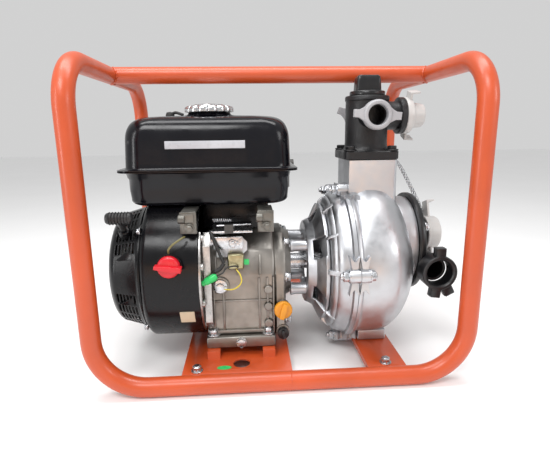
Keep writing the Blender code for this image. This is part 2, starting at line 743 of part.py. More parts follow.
def build_fuel_cap():
    """Fluted cap over the filler neck."""
    cap = cylinder("fuel_cap", 37, (TANK_X, TANK_CAP_Y, 371 + GAP), 9.5, "Z", STEEL, sides=36)
    flutes = bmesh.new()
    count = 12
    for i in range(count):
        turn = Matrix.Rotation(2 * math.pi * i / count, 4, "Z")
        place = Matrix.Translation((40.5 * MM, 0, 5 * MM))
        bmesh.ops.create_cone(
            flutes, cap_ends=True, segments=8, radius1=5.5 * MM, radius2=5.5 * MM, depth=20 * MM,
            matrix=turn @ place,
        )
    tool = adopt("cap_flutes", mesh_of("cap_flutes", flutes), (TANK_X, TANK_CAP_Y, 371), TURN["Z"], None)
    crown = cylinder("cap_crown", 24, (TANK_X, TANK_CAP_Y, 380), 3, "Z", sides=32, end_radius=21)
    return join(cut(cap, tool), crown)


def build_tank_fittings():
    front = TANK_Y - 90
    bar = span("tank_front_bar", (-155, -45), (front - 3.5, front - GAP), (320, 331), STEEL, bevel=1)
    for label, x in (("left", -124), ("right", -20)):
        post = span(f"tank_bracket_{label}", (x - 11, x + 11), (-136, -131), (209, 238), OLIVE)
        shelf = span(f"bracket_shelf_{label}", (x - 10, x + 10), (-133, -91), (235.6, 238.4))
        join(post, shelf, hex_bolt(f"bracket_bolt_{label}", (x, -135.5, 218), "-Y", across=10, head=6))
    return bar


# Engine: exhaust, intake and controls -------------------------------------------------------------------
CARB_X = -121.0


def build_muffler():
    x, y, z = (-64, 36), (98, 165), (229, 298)
    muffler = span("muffler", x, y, z, IRON, bevel=10)
    pipe = cylinder("exhaust_pipe", 11, (BORE_X + 24, 104, 241), 24, "-Y", sides=16)
    outlet = cylinder("exhaust_outlet", 9, (x[1] - 4, 130, 280), 14, "X", sides=16)
    outlet_bore = cylinder("exhaust_outlet_bore", 7, (x[1] - 2, 130, 280), 30, "X", sides=16)
    count = 6
    pitch = (x[1] - x[0] - 14) / (count - 1)
    for i in range(count):
        start = x[0] + 4 + pitch * i
        join(muffler, span(f"guard_rib_{i}", (start, start + 6), (y[0] + 3, y[1] + 3), (z[0] + 3, z[1] + 3)))
    return cut(join(muffler, pipe, outlet), outlet_bore)


def build_air_cleaner():
    x = (-210, -104)
    base = span("air_cleaner_base", x, (96, 164), (218, 232), PLASTIC, bevel=3)
    cut(base, cylinder("intake_hole", 11, (CARB_X, 112, 200), 60, "Z"))
    cover = span("air_cleaner_cover", (x[0] - 2, x[1] + 2), (94, 168), (232 + GAP, 312), PLASTIC, bevel=3)
    cut(cover, span("filter_space", (x[0] + 3, x[1] - 3), (99, 163), (225, 306)))
    nut = cylinder("air_cleaner_nut", 8, (sum(x) / 2, 131, 312 + GAP), 7, "Z", PLASTIC, sides=16)
    return join(nut, block("nut_wings", (26, 5, 12), (sum(x) / 2, 131, 321), bevel=1.5))


def build_carburetor():
    """Body between the head and the air cleaner, with its round float bowl."""
    body = span("carburetor", (CARB_X - 13, CARB_X + 11), (84, 116), (176, 208), CAST, bevel=3)
    return join(
        body,
        cylinder("float_bowl", 14, (CARB_X, 99, 152), 26, "Z"),
        cylinder("intake_throat", 12, (CARB_X, 112, 200), 17.6, "Z"),
    )


def build_controls():
    plate = span("control_plate", (-96, -38), (-118, -66), (204, 207), STEEL)
    join(plate, span("control_plate_leg", (-88, -76), (-84, -74), (194, 205)))
    throttle = span("throttle_lever", (-74, -66), (-134, -92), (208, 211), IRON, bevel=0.8)
    set_origin(throttle, (-70, -98, 209.5))
    join(
        throttle, cylinder("throttle_hub", 8, (-70, -98, 207 + GAP), 5, "Z", sides=16),
        span("throttle_tab", (-76, -64), (-137, -133), (208, 220)),
    )
    lever_x = (CARB_X - 19, CARB_X - 15.5)
    hub_reach = CARB_X - 13 - GAP - lever_x[0]
    choke = span("choke_lever", lever_x, (96, 102), (188, 214), IRON)
    set_origin(choke, (sum(lever_x) / 2, 99, 192))
    join(choke, cylinder("choke_hub", 4, (lever_x[0] - 1, 99, 192), hub_reach + 1, "X", sides=12))
    fuel = span("fuel_valve_lever", lever_x, (89, 94), (160, 184), RED)
    set_origin(fuel, (sum(lever_x) / 2, 91.5, 182))
    join(fuel, cylinder("fuel_valve_hub", 4, (lever_x[0] - 1, 91.5, 182), hub_reach + 1, "X", sides=12))
    arm = span("governor_arm", (-94, -52), (-119, -116), (181, 199), STEEL)
    set_origin(arm, (-60, -117.5, 188))
    join(arm, cylinder("governor_shaft", 3.5, (-60, -121, 188), 31, "Y", sides=12))
    unit = span("oil_alert_unit", (-74, -51), (-124, -113), (152, 175), OLIVE, bevel=2)
    return unit


def set_origin(obj, place):
    """Move an unrotated object's origin to a place without moving its shape."""
    target = Vector(place) * MM
    obj.data.transform(Matrix.Translation(obj.location - target))
    obj.location = target


def build_engine_fittings():
    cap = cylinder("oil_filler_cap", 13.5, (4, -118 - GAP, 88), 7, "-Y", YELLOW, sides=20)
    join(
        cap,
        block("filler_grip", (6, 8, 24), (4, -127, 88), bevel=1.5, turn=Euler((0, math.radians(15), 0))),
        cylinder("filler_thread", 7.2, (4, -108, 88), 12, "-Y", sides=12),
    )
    plug = cylinder("oil_level_plug", 8.5, (4, -113 - GAP, 50), 8, "-Y", PLASTIC, sides=16)
    join(plug, block("plug_grip", (5, 7, 13), (4, -123.5, 50), bevel=1))
    hex_bolt("oil_drain_bolt", (BORE_X, -125 - GAP, 42), "-Y", across=12, head=6, material=STEEL)
    sensor = cylinder("oil_level_switch", 10, (-86, -112 - GAP, 126), 7, "-Y", STEEL, sides=20)
    join(sensor, cylinder("sensor_nut", 6, (-86, -118, 126), 6, "-Y", sides=6))


def build_wiring():
    wire = [
        (-150, -148, 186), (-149, -153, 192), (-143, -154, 200), (-136, -151, 204), (-131, -146, 207),
        (-129, -140.5, 206),
    ]
    tube("switch_wire", wire, 1.4, OLIVE, resolution=2)
    sleeve = cylinder("wire_connector", 5.5, (-109.5, -139, 138), 24, "X", GREEN, sides=12)
    sleeve.rotation_euler = Euler((0, math.radians(62), 0))
    return sleeve


# Pump ---------------------------------------------------------------------------------------------------
def build_pump_adapter():
    """Bell bracket: a ring on four legs against the engine, flaring out to the rear casing."""
    length = 70 - GAP - PTO_X - GAP
    start = PTO_X + GAP
    profile = [(92, length), (92, length - 5), (70, 36), (64, 24), (44, 24), (44, 31), (60, 31), (84, length)]
    bell = turned("pump_adapter", profile, (start, CRANK_Y, CRANK_Z), "X", CAST, steps=24)
    for i in range(4):
        y, z = around(45 + 90 * i, 46 * 1.05)
        join(bell, cylinder(f"adapter_leg_{i}", 8.5, (start, y, z), 30, "X", sides=12))
    for i in range(6):
        window = block(f"adapter_window_{i}", (16, 30, 40), (0, 0, 0))
        y, z = around(30 + 60 * i, 78)
        window.location = Vector((start + 40, y, z)) * MM
        window.rotation_euler = Euler((math.radians(-(30 + 60 * i) - 90), 0, 0))
        cut(bell, window)
    return bell


def lug_bosses(prefix, x, length, radius=9.5):
    bosses = []
    for i, angle in enumerate(LUG_ANGLES):
        y, z = around(angle, LUG_R)
        bosses.append(cylinder(f"{prefix}_{i}", radius, (x, y, z), length, "X", sides=8))
    return bosses


def build_rear_casing():
    """Dished rear half of the casing with its bolted rim."""
    depth = JOINT_X - GAP / 2 - 70
    profile = [
        (118, depth), (118, depth - 6), (110, depth - 8), (107, depth - 16), (98, 8), (86, 1), (70, 0), (20, 0),
        (20, 6), (68, 6), (92, 12), (102, depth - 14), (104, depth),
    ]
    casing = turned("rear_casing", profile, (70, CRANK_Y, CRANK_Z), "X", CAST, steps=24)
    join(casing, *lug_bosses("rear_lug", JOINT_X - 14, 14 - GAP / 2))
    for i, angle in enumerate(LUG_ANGLES):
        place = (JOINT_X - 14, *around(angle, LUG_R))
        join(casing, hex_bolt(f"casing_nut_{i}", place, "-X", across=12, head=8))
    return casing


def volute_ring(x, radius, swell):
    """A ring of the volute: round below, swelling towards the outlet above."""
    count = 32
    ring = []
    for i in range(count):
        angle = 360.0 * i / count
        lift = max(0.0, math.sin(math.radians(angle))) ** 3
        y, z = around(angle, radius * (1 + swell * lift))
        ring.append((x, y, z))
    return ring


def build_front_volute():
    wall = 5.0
    start = JOINT_X + GAP / 2
    outer = [
        volute_ring(start, 118, 0.0), volute_ring(start + 6, 118, 0.0), volute_ring(start + 7.5, 112, 0.02),
        volute_ring(128, 113, 0.1), volute_ring(152, 111, 0.1), volute_ring(168, 105, 0.08),
        volute_ring(182, 93, 0.06), volute_ring(194, 75, 0.03), volute_ring(201, 56, 0.0),
        volute_ring(203, 40, 0.0),
    ]
    inner = [
        volute_ring(198, 40, 0.0), volute_ring(196, 54, 0.0), volute_ring(189, 72, 0.02),
        volute_ring(178, 88, 0.04),
        volute_ring(165, 100, 0.06), volute_ring(150, 111 - wall, 0.08), volute_ring(128, 113 - wall, 0.08),
        volute_ring(start, 104, 0.0),
    ]
    volute = loft("front_volute", outer + inner, CAST, ring_loop=True)
    x = (OUTLET_X - NECK_HALF, OUTLET_X + NECK_HALF)
    y = (CRANK_Y - NECK_HALF, CRANK_Y + NECK_HALF)
    neck = span("discharge_neck", (start + 1, x[1]), y, (228, 300 - GAP), bevel=2)
    foot = span("pump_foot", (122, 166), (-96, 6), (PLATE_TOP + GAP, 38), bevel=2)
    boss = cylinder("suction_boss", 70.6, (177, CRANK_Y, COVER_Z), COVER_X - 177, "X", sides=30)
    join(volute, neck, foot, boss, *lug_bosses("front_lug", start + 0.3, 12.7))
    for i, angle in enumerate(LUG_ANGLES[:-1]):
        place = (start + 12.5, *around(angle, LUG_R))
        join(volute, hex_bolt(f"casing_bolt_{i}", place, "X", across=12, head=7))
    return cut(
        volute,
        cylinder("discharge_bore", 25, (OUTLET_X, CRANK_Y, 200), 130, "Z"),
        cylinder("suction_space", 40, (160, CRANK_Y, COVER_Z), 60, "X"),
        cylinder("axis_space", 46, (160, CRANK_Y, CRANK_Z), 33, "X"),
    )


def build_impeller():
    """Closed impeller: two shrouds with the inlet eye in front and curved vanes between."""
    hub = [(70, 5), (22, 7), (20, 20), (12.8, 20), (12.8, 0), (70, 0)]
    wheel = turned("impeller", hub, (100, CRANK_Y, CRANK_Z), "X", CAST, steps=24)
    front = turned("front_shroud", [(70, 22), (33, 23), (29, 32), (25, 32), (30, 20), (70, 18)],
                   (100, CRANK_Y, CRANK_Z), "X", steps=24)
    vanes = bmesh.new()
    count = 6
    for i in range(count):
        turn = Matrix.Rotation(2 * math.pi * i / count, 4, "X")
        place = Matrix.Translation((12 * MM, 14 * MM, 46 * MM)) @ Matrix.Rotation(math.radians(35), 4, "X")
        size = Matrix.Diagonal((17 * MM, 3 * MM, 42 * MM, 1.0))
        bmesh.ops.create_cube(vanes, size=1.0, matrix=turn @ place @ size)
    mesh = mesh_of("impeller_vanes", vanes)
    blades = adopt("impeller_vanes", mesh, (100, CRANK_Y, CRANK_Z), TURN["Z"], None)
    return join(wheel, blades, front)


def build_mechanical_seal():
    profile = [(18, 12), (18, 0), (12.8, 0), (12.8, 12)]
    return turned("mechanical_seal", profile, (80, CRANK_Y, CRANK_Z), "X", RUBBER, steps=24)


def build_suction_cover():
    """Black cover over the suction boss, with a straight inlet and a side branch for the hose coupling."""
    root_y = CRANK_Y - 42
    cover = cylinder("suction_cover", 76, (COVER_X + GAP, CRANK_Y, COVER_Z), 9.5, "X", PLASTIC, sides=40)
    stub = cylinder("inlet_stub", 24, (COVER_X + 2, CRANK_Y, SUCTION_Z), 30, "X")
    branch = cylinder("branch_pipe", 18, (BRANCH_X, root_y + 12, BRANCH_Z), root_y + 12 - BRANCH_END_Y, "-Y")
    root = cylinder("branch_root", 17, (COVER_X + 2, root_y, BRANCH_Z), BRANCH_X - COVER_X - 2, "X")
    join(cover, stub, branch, root)
    for i in range(6):
        angle = math.radians(30 + 60 * i)
        place = (COVER_X + 9.5, CRANK_Y + 67 * math.cos(angle), COVER_Z + 67 * math.sin(angle))
        join(cover, hex_bolt(f"cover_screw_{i}", place, "X", across=10, head=5))
    return cut(
        cover,
        cylinder("inlet_bore", 19, (COVER_X - 5, CRANK_Y, SUCTION_Z), 60, "X"),
        cylinder("branch_bore", 14, (BRANCH_X, root_y, BRANCH_Z), 60, "-Y"),
    )


def cap_ears(prefix, centre, reach, width, axis_x, count=2, start_angle=90.0):
    """Folded ears standing out from a cap that turns about X."""
    ears = []
    for i in range(count):
        angle = math.radians(start_angle + 360.0 * i / count)
        turn = Euler((angle - math.pi / 2, 0, 0))
        x, y, z = centre
        middle = reach / 2 + 10
        arm_place = (x, y + middle * math.cos(angle), z + middle * math.sin(angle))
        arm = block(f"{prefix}_arm_{i}", (3, width, reach), arm_place, turn=turn)
        tip = reach + 9
        fold_place = (x + axis_x / 2 - 0.8, y + tip * math.cos(angle), z + tip * math.sin(angle))
        fold = block(f"{prefix}_fold_{i}", (axis_x, width + 1, 3), fold_place, turn=turn)
        ears += [arm, fold]
    return ears


def build_suction_cap():
    start = COVER_X + 32 + GAP
    profile = [(0, 22), (22, 22), (26, 19), (27, 0), (23, 0), (22, 16), (0, 18)]
    cap = turned("suction_cap", profile, (start, CRANK_Y, SUCTION_Z), "X", GREY, steps=24)
    return join(cap, *cap_ears("suction_cap", (start + 9, CRANK_Y, SUCTION_Z), 42, 12, 12, start_angle=70))


def build_suction_coupling():
    """Lugged ring nut on the side branch."""
    start = BRANCH_END_Y - GAP
    profile = [(25, 23), (25, 0), (18, 0), (18, 23)]
    nut = turned("suction_coupling", profile, (BRANCH_X, start, BRANCH_Z), "-Y", PLASTIC, steps=24)
    for i, angle in enumerate((90, 262, 298)):
        turn = math.radians(angle)
        place = (BRANCH_X + 29 * math.cos(turn), start - 16, BRANCH_Z + 29 * math.sin(turn))
        lug = block(f"coupling_lug_{i}", (14, 13, 12), place, turn=Euler((0, -turn, 0)))
        join(nut, lug)
    return nut


def build_check_valve():
    flap = cylinder("check_valve_flap", 21.5, (COVER_X - 4, CRANK_Y, SUCTION_Z), 3.5, "X", RUBBER, sides=20)
    hinge_place = (COVER_X - 2.2, CRANK_Y, SUCTION_Z + 21)
    hinge = span(
        "flap_hinge", (COVER_X - 3.8, COVER_X - 0.7), (CRANK_Y - 10, CRANK_Y + 10),
        (SUCTION_Z + 12, SUCTION_Z + 23),
    )
    join(flap, hinge)
    offset = flap.matrix_basis.inverted() @ (Vector(hinge_place) * MM)
    flap.data.transform(Matrix.Translation(-offset))
    flap.location = Vector(hinge_place) * MM
    return flap


def build_outlet_head():
    """Black outlet casting: square flange, upright barrel, two small outlets and one large outlet."""
    base = 300.0
    half = NECK_HALF + 1
    head = span(
        "outlet_head", (OUTLET_X - half, OUTLET_X + half), (CRANK_Y - half, CRANK_Y + half),
        (base, base + 13),
        PLASTIC, bevel=3,
    )
    barrel = cylinder("outlet_barrel", 31.5, (OUTLET_X, CRANK_Y, base + 8), 84, "Z", sides=32)
    front = cylinder("front_pipe", 17, (OUTLET_X, CRANK_Y, OUTLET_Z), 50, "-Y", sides=20)
    rear = cylinder("rear_pipe", 17, (OUTLET_X, CRANK_Y, OUTLET_Z), 50, "Y", sides=20)
    right = cylinder("right_pipe", 21, (OUTLET_X, CRANK_Y, OUTLET_Z), 50, "X", sides=20)
    flange = cylinder("right_flange", 27, (OUTLET_X + 46, CRANK_Y, OUTLET_Z), 9, "X", sides=20)
    join(head, barrel, front, rear, right, flange)
    for i, (sx, sy) in enumerate(((-1, -1), (1, -1), (-1, 1), (1, 1))):
        place = (OUTLET_X + 31 * sx, CRANK_Y + 31 * sy, base + 12.5)
        join(head, hex_bolt(f"flange_bolt_{i}", place, "Z", across=12, head=6))
    return cut(
        head,
        cylinder("head_bore", 24, (OUTLET_X, CRANK_Y, base - 10), 120, "Z"),
        cylinder("front_and_rear_bore", 13, (OUTLET_X, CRANK_Y - 70, OUTLET_Z), 140, "Y", sides=20),
        cylinder("right_bore", 17, (OUTLET_X, CRANK_Y, OUTLET_Z), 90, "X", sides=20),
    )


def build_filler_plug():
    top = 392 + GAP
    plug = cylinder("filler_plug", 26, (OUTLET_X, CRANK_Y, top), 6, "Z", PLASTIC, sides=32)
    x, y = (OUTLET_X - 19, OUTLET_X + 19), (CRANK_Y - 12, CRANK_Y + 12)
    grip = span("plug_grip_block", x, y, (top + 4, top + 29), bevel=4)
    return join(plug, grip, cylinder("plug_thread", 23.4, (OUTLET_X, CRANK_Y, top - 10), 12, "Z", sides=20))


def outlet_ring(name, start_y, axis, tilt):
    """Ring nut with two ears."""
    profile = [(20, 12), (20.5, 10), (20.5, 0), (14, 0), (14, 12)]
    ring = turned(name, profile, (OUTLET_X, start_y, OUTLET_Z), axis, GREY, steps=24)
    direction = -1 if axis == "-Y" else 1
    for side in (-1, 1):
        turn = math.radians(tilt)
        x = OUTLET_X + side * 25 * math.cos(turn)
        place = (x, start_y + direction * 6, OUTLET_Z - side * 25 * math.sin(turn))
        join(ring, block(f"{name}_ear_{side}", (17, 8, 11), place, bevel=2, turn=Euler((0, turn, 0))))
    return ring


def build_right_outlet_cap():
    start = OUTLET_X + 55 + GAP
    profile = [(0, 30), (15, 30), (17, 28), (19, 11), (26, 10), (27, 0), (22, 0), (16, 12), (13, 26), (0, 26)]
    cap = turned("right_outlet_cap", profile, (start, CRANK_Y, OUTLET_Z), "X", GREY, steps=24)
    return join(cap, *cap_ears("outlet_cap", (start + 7, CRANK_Y, OUTLET_Z), 26, 12, 14, start_angle=100))


def build_cap_chain():
    """Retaining chain held at the outlet flange and at the suction cap."""
    route = [
        (181, -40, 306), (186, -38, 298), (198, -34, 284), (212, -30, 262), (226, -27, 238), (238, -25, 216),
        (246, -24, 200),
    ]
    return tube("cap_chain", route, 1.2, STEEL, resolution=2)


def build_engine():
    build_crankcase()
    build_side_cover()
    build_cylinder_head()
    build_valve_gear_cover()
    build_spark_plug()
    build_spark_plug_cap()
    build_crankshaft()
    build_camshaft()
    build_piston()
    build_connecting_rod()
    build_flywheel()
    build_fan_housing()
    build_recoil_cover()
    build_starter_pulley()
    build_starter_grip()
    build_engine_switch()
    build_side_stay()
    build_tank_upper()
    build_tank_lower()
    build_fuel_cap()
    build_tank_fittings()
    build_muffler()
    build_air_cleaner()
    build_carburetor()
    build_controls()
    build_engine_fittings()
    build_wiring()


def build_pump():
    build_pump_adapter()
    build_rear_casing()
    build_front_volute()
    build_impeller()
    build_mechanical_seal()
    build_suction_cover()
    build_suction_cap()
    build_suction_coupling()
    build_check_valve()
    build_outlet_head()
    build_filler_plug()
    outlet_ring("front_outlet_ring", CRANK_Y - 50 - GAP, "-Y", 4)
    outlet_ring("rear_outlet_ring", CRANK_Y + 50 + GAP, "Y", 20)
    build_right_outlet_cap()
    build_cap_chain()


build_frame()
build_engine()
build_pump()
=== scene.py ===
"""Looks of the portable fire pump: paint, castings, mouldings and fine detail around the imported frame.

Every size and place is in millimetres in the row frame, and MM turns it into metres where a mesh is made.
Order: numbers, mesh helpers, materials, frame, engine, tank, pump, fittings, stage and camera.
"""

import math

import bmesh
import bpy
from mathutils import Euler, Matrix, Vector


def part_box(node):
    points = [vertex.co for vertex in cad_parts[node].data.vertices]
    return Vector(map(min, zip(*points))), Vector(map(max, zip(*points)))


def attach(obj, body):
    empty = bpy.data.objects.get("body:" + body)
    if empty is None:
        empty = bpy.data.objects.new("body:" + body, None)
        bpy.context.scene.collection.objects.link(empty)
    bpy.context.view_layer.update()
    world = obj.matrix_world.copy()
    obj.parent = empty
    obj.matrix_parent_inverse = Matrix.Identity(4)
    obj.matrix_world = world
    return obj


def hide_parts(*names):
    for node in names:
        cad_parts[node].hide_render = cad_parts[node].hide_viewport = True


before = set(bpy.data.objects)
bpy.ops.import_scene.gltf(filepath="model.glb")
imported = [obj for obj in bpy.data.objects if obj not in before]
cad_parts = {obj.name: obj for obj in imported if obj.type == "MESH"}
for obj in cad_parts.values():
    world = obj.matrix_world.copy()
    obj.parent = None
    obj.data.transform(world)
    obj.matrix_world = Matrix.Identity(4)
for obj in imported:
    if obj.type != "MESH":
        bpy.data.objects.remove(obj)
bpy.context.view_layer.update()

MM = 0.001
ROOT = "pump_frame"


def node_box(node):
    """Lowest and highest corner of a CAD node, in millimetres."""
    low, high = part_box(node)
    return [v / MM for v in low], [v / MM for v in high]


def middle(node):
    low, high = node_box(node)
    return [(a + b) / 2 for a, b in zip(low, high)]


# Axes that the CAD nodes give --------------------------------------------------------------------------
CRANK_Y, CRANK_Z = middle("impeller")[1:]
OUTLET_X = middle("front_outlet_ring")[0]
OUTLET_Z = middle("front_outlet_ring")[2]
SUCTION_Z = middle("suction_cap")[2]
BRANCH_X = 224.0
BRANCH_Z = 144.0
COVER_Z = middle("suction_cover")[2]
TANK_X = middle("fuel_tank_upper")[0]
TANK_Y = middle("fuel_tank_upper")[1]
TANK_CAP_Y = middle("fuel_cap")[1]
SEAM_Z = 290.0
TUBE = 12.7
FRAME_X = 249.0
FRAME_Y = 183.5
FRAME_TOP = 428.3
JOINT_X = 104.0
LUG_R = 121.0
LUG_ANGLES = (6.0, 76.0, 120.0, 186.0, 235.0, 283.0)
FINE = 96  # steps around a turned piece
BEVEL_ABOVE = 30  # degrees between two faces from which their edge is rounded


# Mesh helpers -------------------------------------------------------------------------------------------
def finish(name, work, shader, *nodes, body=ROOT, smooth=38.0, bevel=0.0, segments=3):
    """Make an object of work, in place of any CAD nodes: round its edges, shade it and let it ride."""
    bmesh.ops.recalc_face_normals(work, faces=work.faces)
    if bevel:
        bmesh.ops.remove_doubles(work, verts=work.verts, dist=0.001)
        limit = math.radians(BEVEL_ABOVE)
        edges = [e for e in work.edges if len(e.link_faces) == 2 and e.calc_face_angle() > limit]
        bmesh.ops.bevel(work, geom=edges, offset=bevel, segments=segments, profile=0.5, affect="EDGES",
                        clamp_overlap=True)
    mesh = bpy.data.meshes.new(name)
    work.to_mesh(mesh)
    work.free()
    mesh.transform(Matrix.Scale(MM, 4))
    mesh.shade_smooth()
    mesh.set_sharp_from_angle(angle=math.radians(smooth))
    mesh.materials.append(shader.material)
    obj = bpy.data.objects.new(name, mesh)
    bpy.context.scene.collection.objects.link(obj)
    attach(obj, body)
    if nodes:
        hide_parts(*nodes)
    return obj


def add_rings(work, rings, closed_ends=True, ring_loop=False, keep=None):
    """Skin rings of equal length. keep(i, k) tells whether the face after ring i at step k stays."""
    verts = [[work.verts.new(p) for p in ring] for ring in rings]
    count = len(rings[0])
    pairs = list(zip(verts, verts[1:]))
    if ring_loop:
        pairs.append((verts[-1], verts[0]))
    for i, (a, b) in enumerate(pairs):
        for k in range(count):
            if keep and not keep(i, k):
                continue
            n = (k + 1) % count
            work.faces.new((a[k], a[n], b[n], b[k]))
    if closed_ends and not ring_loop:
        work.faces.new(list(reversed(verts[0])))
        work.faces.new(verts[-1])
    return verts


def add_tube(work, points, radius, sides=16, closed=False, radii=None):
    """Sweep a circle along points with a frame that turns as little as it can."""
    points = [Vector(p) for p in points]
    count = len(points)
    rings = []
    normal = None
    for i, point in enumerate(points):
        if closed:
            ahead = (points[(i + 1) % count] - points[i - 1]).normalized()
        else:
            ahead = (points[min(i + 1, count - 1)] - points[max(i - 1, 0)]).normalized()
        if normal is None:
            normal = ahead.orthogonal().normalized()
        normal = (normal - ahead * normal.dot(ahead)).normalized()
        across = ahead.cross(normal)
        r = radii[i] if radii else radius
        ring = []
        for k in range(sides):
            turn = 2 * math.pi * k / sides
            ring.append(point + normal * (r * math.cos(turn)) + across * (r * math.sin(turn)))
        rings.append(ring)
    add_rings(work, rings, closed_ends=not closed, ring_loop=closed)


def add_box(work, x, y, z, turn=None, centre=None):
    """A box by its limits, or by sizes x, y, z about a centre with a turn."""
    if centre is None:
        centre = [(a + b) / 2 for a, b in (x, y, z)]
        x, y, z = (b - a for a, b in (x, y, z))
    place = Matrix.Translation(centre) @ (turn.to_matrix().to_4x4() if turn else Matrix.Identity(4))
    bmesh.ops.create_cube(work, size=1.0, matrix=place @ Matrix.Diagonal((x, y, z, 1.0)))


def axis_frame(axis):
    """Matrix whose Z column is the axis."""
    return Vector(axis).normalized().to_track_quat("Z", "Y").to_matrix().to_4x4()


def add_turned(work, profile, origin, axis, steps=FINE, radius_of=None, loop=False):
    """Turn (radius, height) points about an axis. The ends are capped, or joined to each other by loop."""
    place = Matrix.Translation(origin) @ axis_frame(axis)
    rings = []
    for i, (radius, height) in enumerate(profile):
        ring = []
        for k in range(steps):
            turn = 2 * math.pi * k / steps
            r = radius_of(i, turn, radius) if radius_of else radius
            ring.append(place @ Vector((r * math.cos(turn), r * math.sin(turn), height)))
        rings.append(ring)
    add_rings(work, rings, ring_loop=loop)


def add_hexagon(work, origin, axis, across, height):
    """A hexagon head with its chamfered top."""
    r = across / math.sqrt(3)
    add_turned(work, [(r, 0), (r, height - across * 0.07), (r * 0.86, height)], origin, axis, steps=6)


def add_screw(work, origin, axis, across, height):
    """Washer, hexagon head with a domed top, sitting on a face."""
    origin = Vector(origin)
    axis = Vector(axis).normalized()
    add_turned(work, [(across * 0.74, 0), (across * 0.74, 1.4), (across * 0.7, 1.8)], origin, axis, steps=32)
    add_hexagon(work, origin + axis * 1.5, axis, across, height)
    dome = [(across * 0.4, 0), (across * 0.36, 0.6), (across * 0.2, 0.9)]
    add_turned(work, dome, origin + axis * (height + 1.4), axis, steps=24)


def turned_place(origin, degrees, axis):
    return Matrix.Translation(origin) @ Matrix.Rotation(math.radians(degrees), 4, axis)


def arc_points(centre, radius, start, end, steps):
    out = []
    for i in range(steps + 1):
        a = math.radians(start + (end - start) * i / steps)
        out.append((centre[0] + radius * math.cos(a), centre[1] + radius * math.sin(a)))
    return out


def add_prism(work, outline, axis, low, high, place=None):
    """Extrude a flat outline from low to high along an axis. It gives the other two axes in order."""
    order = {"X": lambda a, b, h: (h, a, b), "Y": lambda a, b, h: (a, h, b), "Z": lambda a, b,
             h: (a, b, h)}[axis]
    rings = []
    for h in (low, high):
        ring = [Vector(order(a, b, h)) for a, b in outline]
        rings.append([place @ p for p in ring] if place else ring)
    add_rings(work, rings)


def rounded_ring(centre, half_x, half_y, corner, z, steps):
    """Rounded rectangle about a centre, in a level plane."""
    ring = []
    for sx, sy, start in ((1, 1, 0), (-1, 1, 90), (-1, -1, 180), (1, -1, 270)):
        turn_centre = (centre[0] + sx * (half_x - corner), centre[1] + sy * (half_y - corner))
        ring += [(x, y, z) for x, y in arc_points(turn_centre, corner, start, start + 90, steps)]
    return ring


def smooth_line(points, steps):
    """Catmull-Rom line through points."""
    points = [Vector(p) for p in points]
    out = []
    for i in range(len(points) - 1):
        p0, p1, p2, p3 = points[max(i - 1, 0)], points[i], points[i + 1], points[min(i + 2, len(points) - 1)]
        for s in range(steps):
            t = s / steps
            out.append(0.5 * (2 * p1 + (p2 - p0) * t + (2 * p0 - 5 * p1 + 4 * p2 - p3) * t * t
                              + (3 * p1 - p0 - 3 * p2 + p3) * t ** 3))
    out.append(points[-1])
    return out


def around(angle, radius):
    """Y and Z of a point about the crank axis; 0 degrees faces the operator and 90 is up."""
    turn = math.radians(angle)
    return CRANK_Y - radius * math.cos(turn), CRANK_Z + radius * math.sin(turn)


# Materials ----------------------------------------------------------------------------------------------
class Shader:
    """A Principled material built up from noise layers in the row's own coordinates."""

    def __init__(self, name, colour, metallic, roughness):
        self.material = bpy.data.materials.new(name)
        self.material.use_nodes = True
        self.nodes = self.material.node_tree.nodes
        self.links = self.material.node_tree.links
        self.principled = self.nodes["Principled BSDF"]
        self.principled.inputs["Base Color"].default_value = (*colour, 1)
        self.principled.inputs["Metallic"].default_value = metallic
        self.principled.inputs["Roughness"].default_value = roughness
        self.coordinates = self.nodes.new("ShaderNodeTexCoord").outputs["Object"]
        self.normal = None

    def noise(self, scale, detail=4.0, stretch=(1, 1, 1), roughness=0.55):
        """Noise with features of 1 / scale metres."""
        mapping = self.nodes.new("ShaderNodeMapping")
        mapping.inputs["Scale"].default_value = stretch
        self.links.new(self.coordinates, mapping.inputs["Vector"])
        texture = self.nodes.new("ShaderNodeTexNoise")
        texture.inputs["Scale"].default_value = scale
        texture.inputs["Detail"].default_value = detail
        texture.inputs["Roughness"].default_value = roughness
        self.links.new(mapping.outputs["Vector"], texture.inputs["Vector"])
        return texture.outputs["Fac"]

    def ramp(self, source, stops):
        """Colour ramp; stops are (position, colour or grey)."""
        ramp = self.nodes.new("ShaderNodeValToRGB")
        for i, (position, value) in enumerate(stops):
            element = ramp.color_ramp.elements[i] if i < 2 else ramp.color_ramp.elements.new(position)
            element.position = position
            element.color = (*value, 1) if isinstance(value, tuple) else (value, value, value, 1)
        self.links.new(source, ramp.inputs["Fac"])
        return ramp.outputs["Color"]

    def colour(self, source, stops):
        self.links.new(self.ramp(source, stops), self.principled.inputs["Base Color"])
        return self

    def rough(self, source, low, high):
        self.links.new(self.ramp(source, [(0.3, low), (0.7, high)]), self.principled.inputs["Roughness"])
        return self

    def bump(self, source, distance, strength=1.0):
        """Distance is the height of the relief in millimetres."""
        bump = self.nodes.new("ShaderNodeBump")
        bump.inputs["Distance"].default_value = distance * MM
        bump.inputs["Strength"].default_value = strength
        self.links.new(source, bump.inputs["Height"])
        if self.normal:
            self.links.new(self.normal, bump.inputs["Normal"])
        self.normal = bump.outputs["Normal"]
        self.links.new(self.normal, self.principled.inputs["Normal"])
        return self

    def specular(self, level):
        self.principled.inputs["Specular IOR Level"].default_value = level
        return self

    def coat(self, weight, roughness):
        self.principled.inputs["Coat Weight"].default_value = weight
        self.principled.inputs["Coat Roughness"].default_value = roughness
        return self


def scaled(colour, factor):
    return tuple(min(1.0, c * factor) for c in colour)


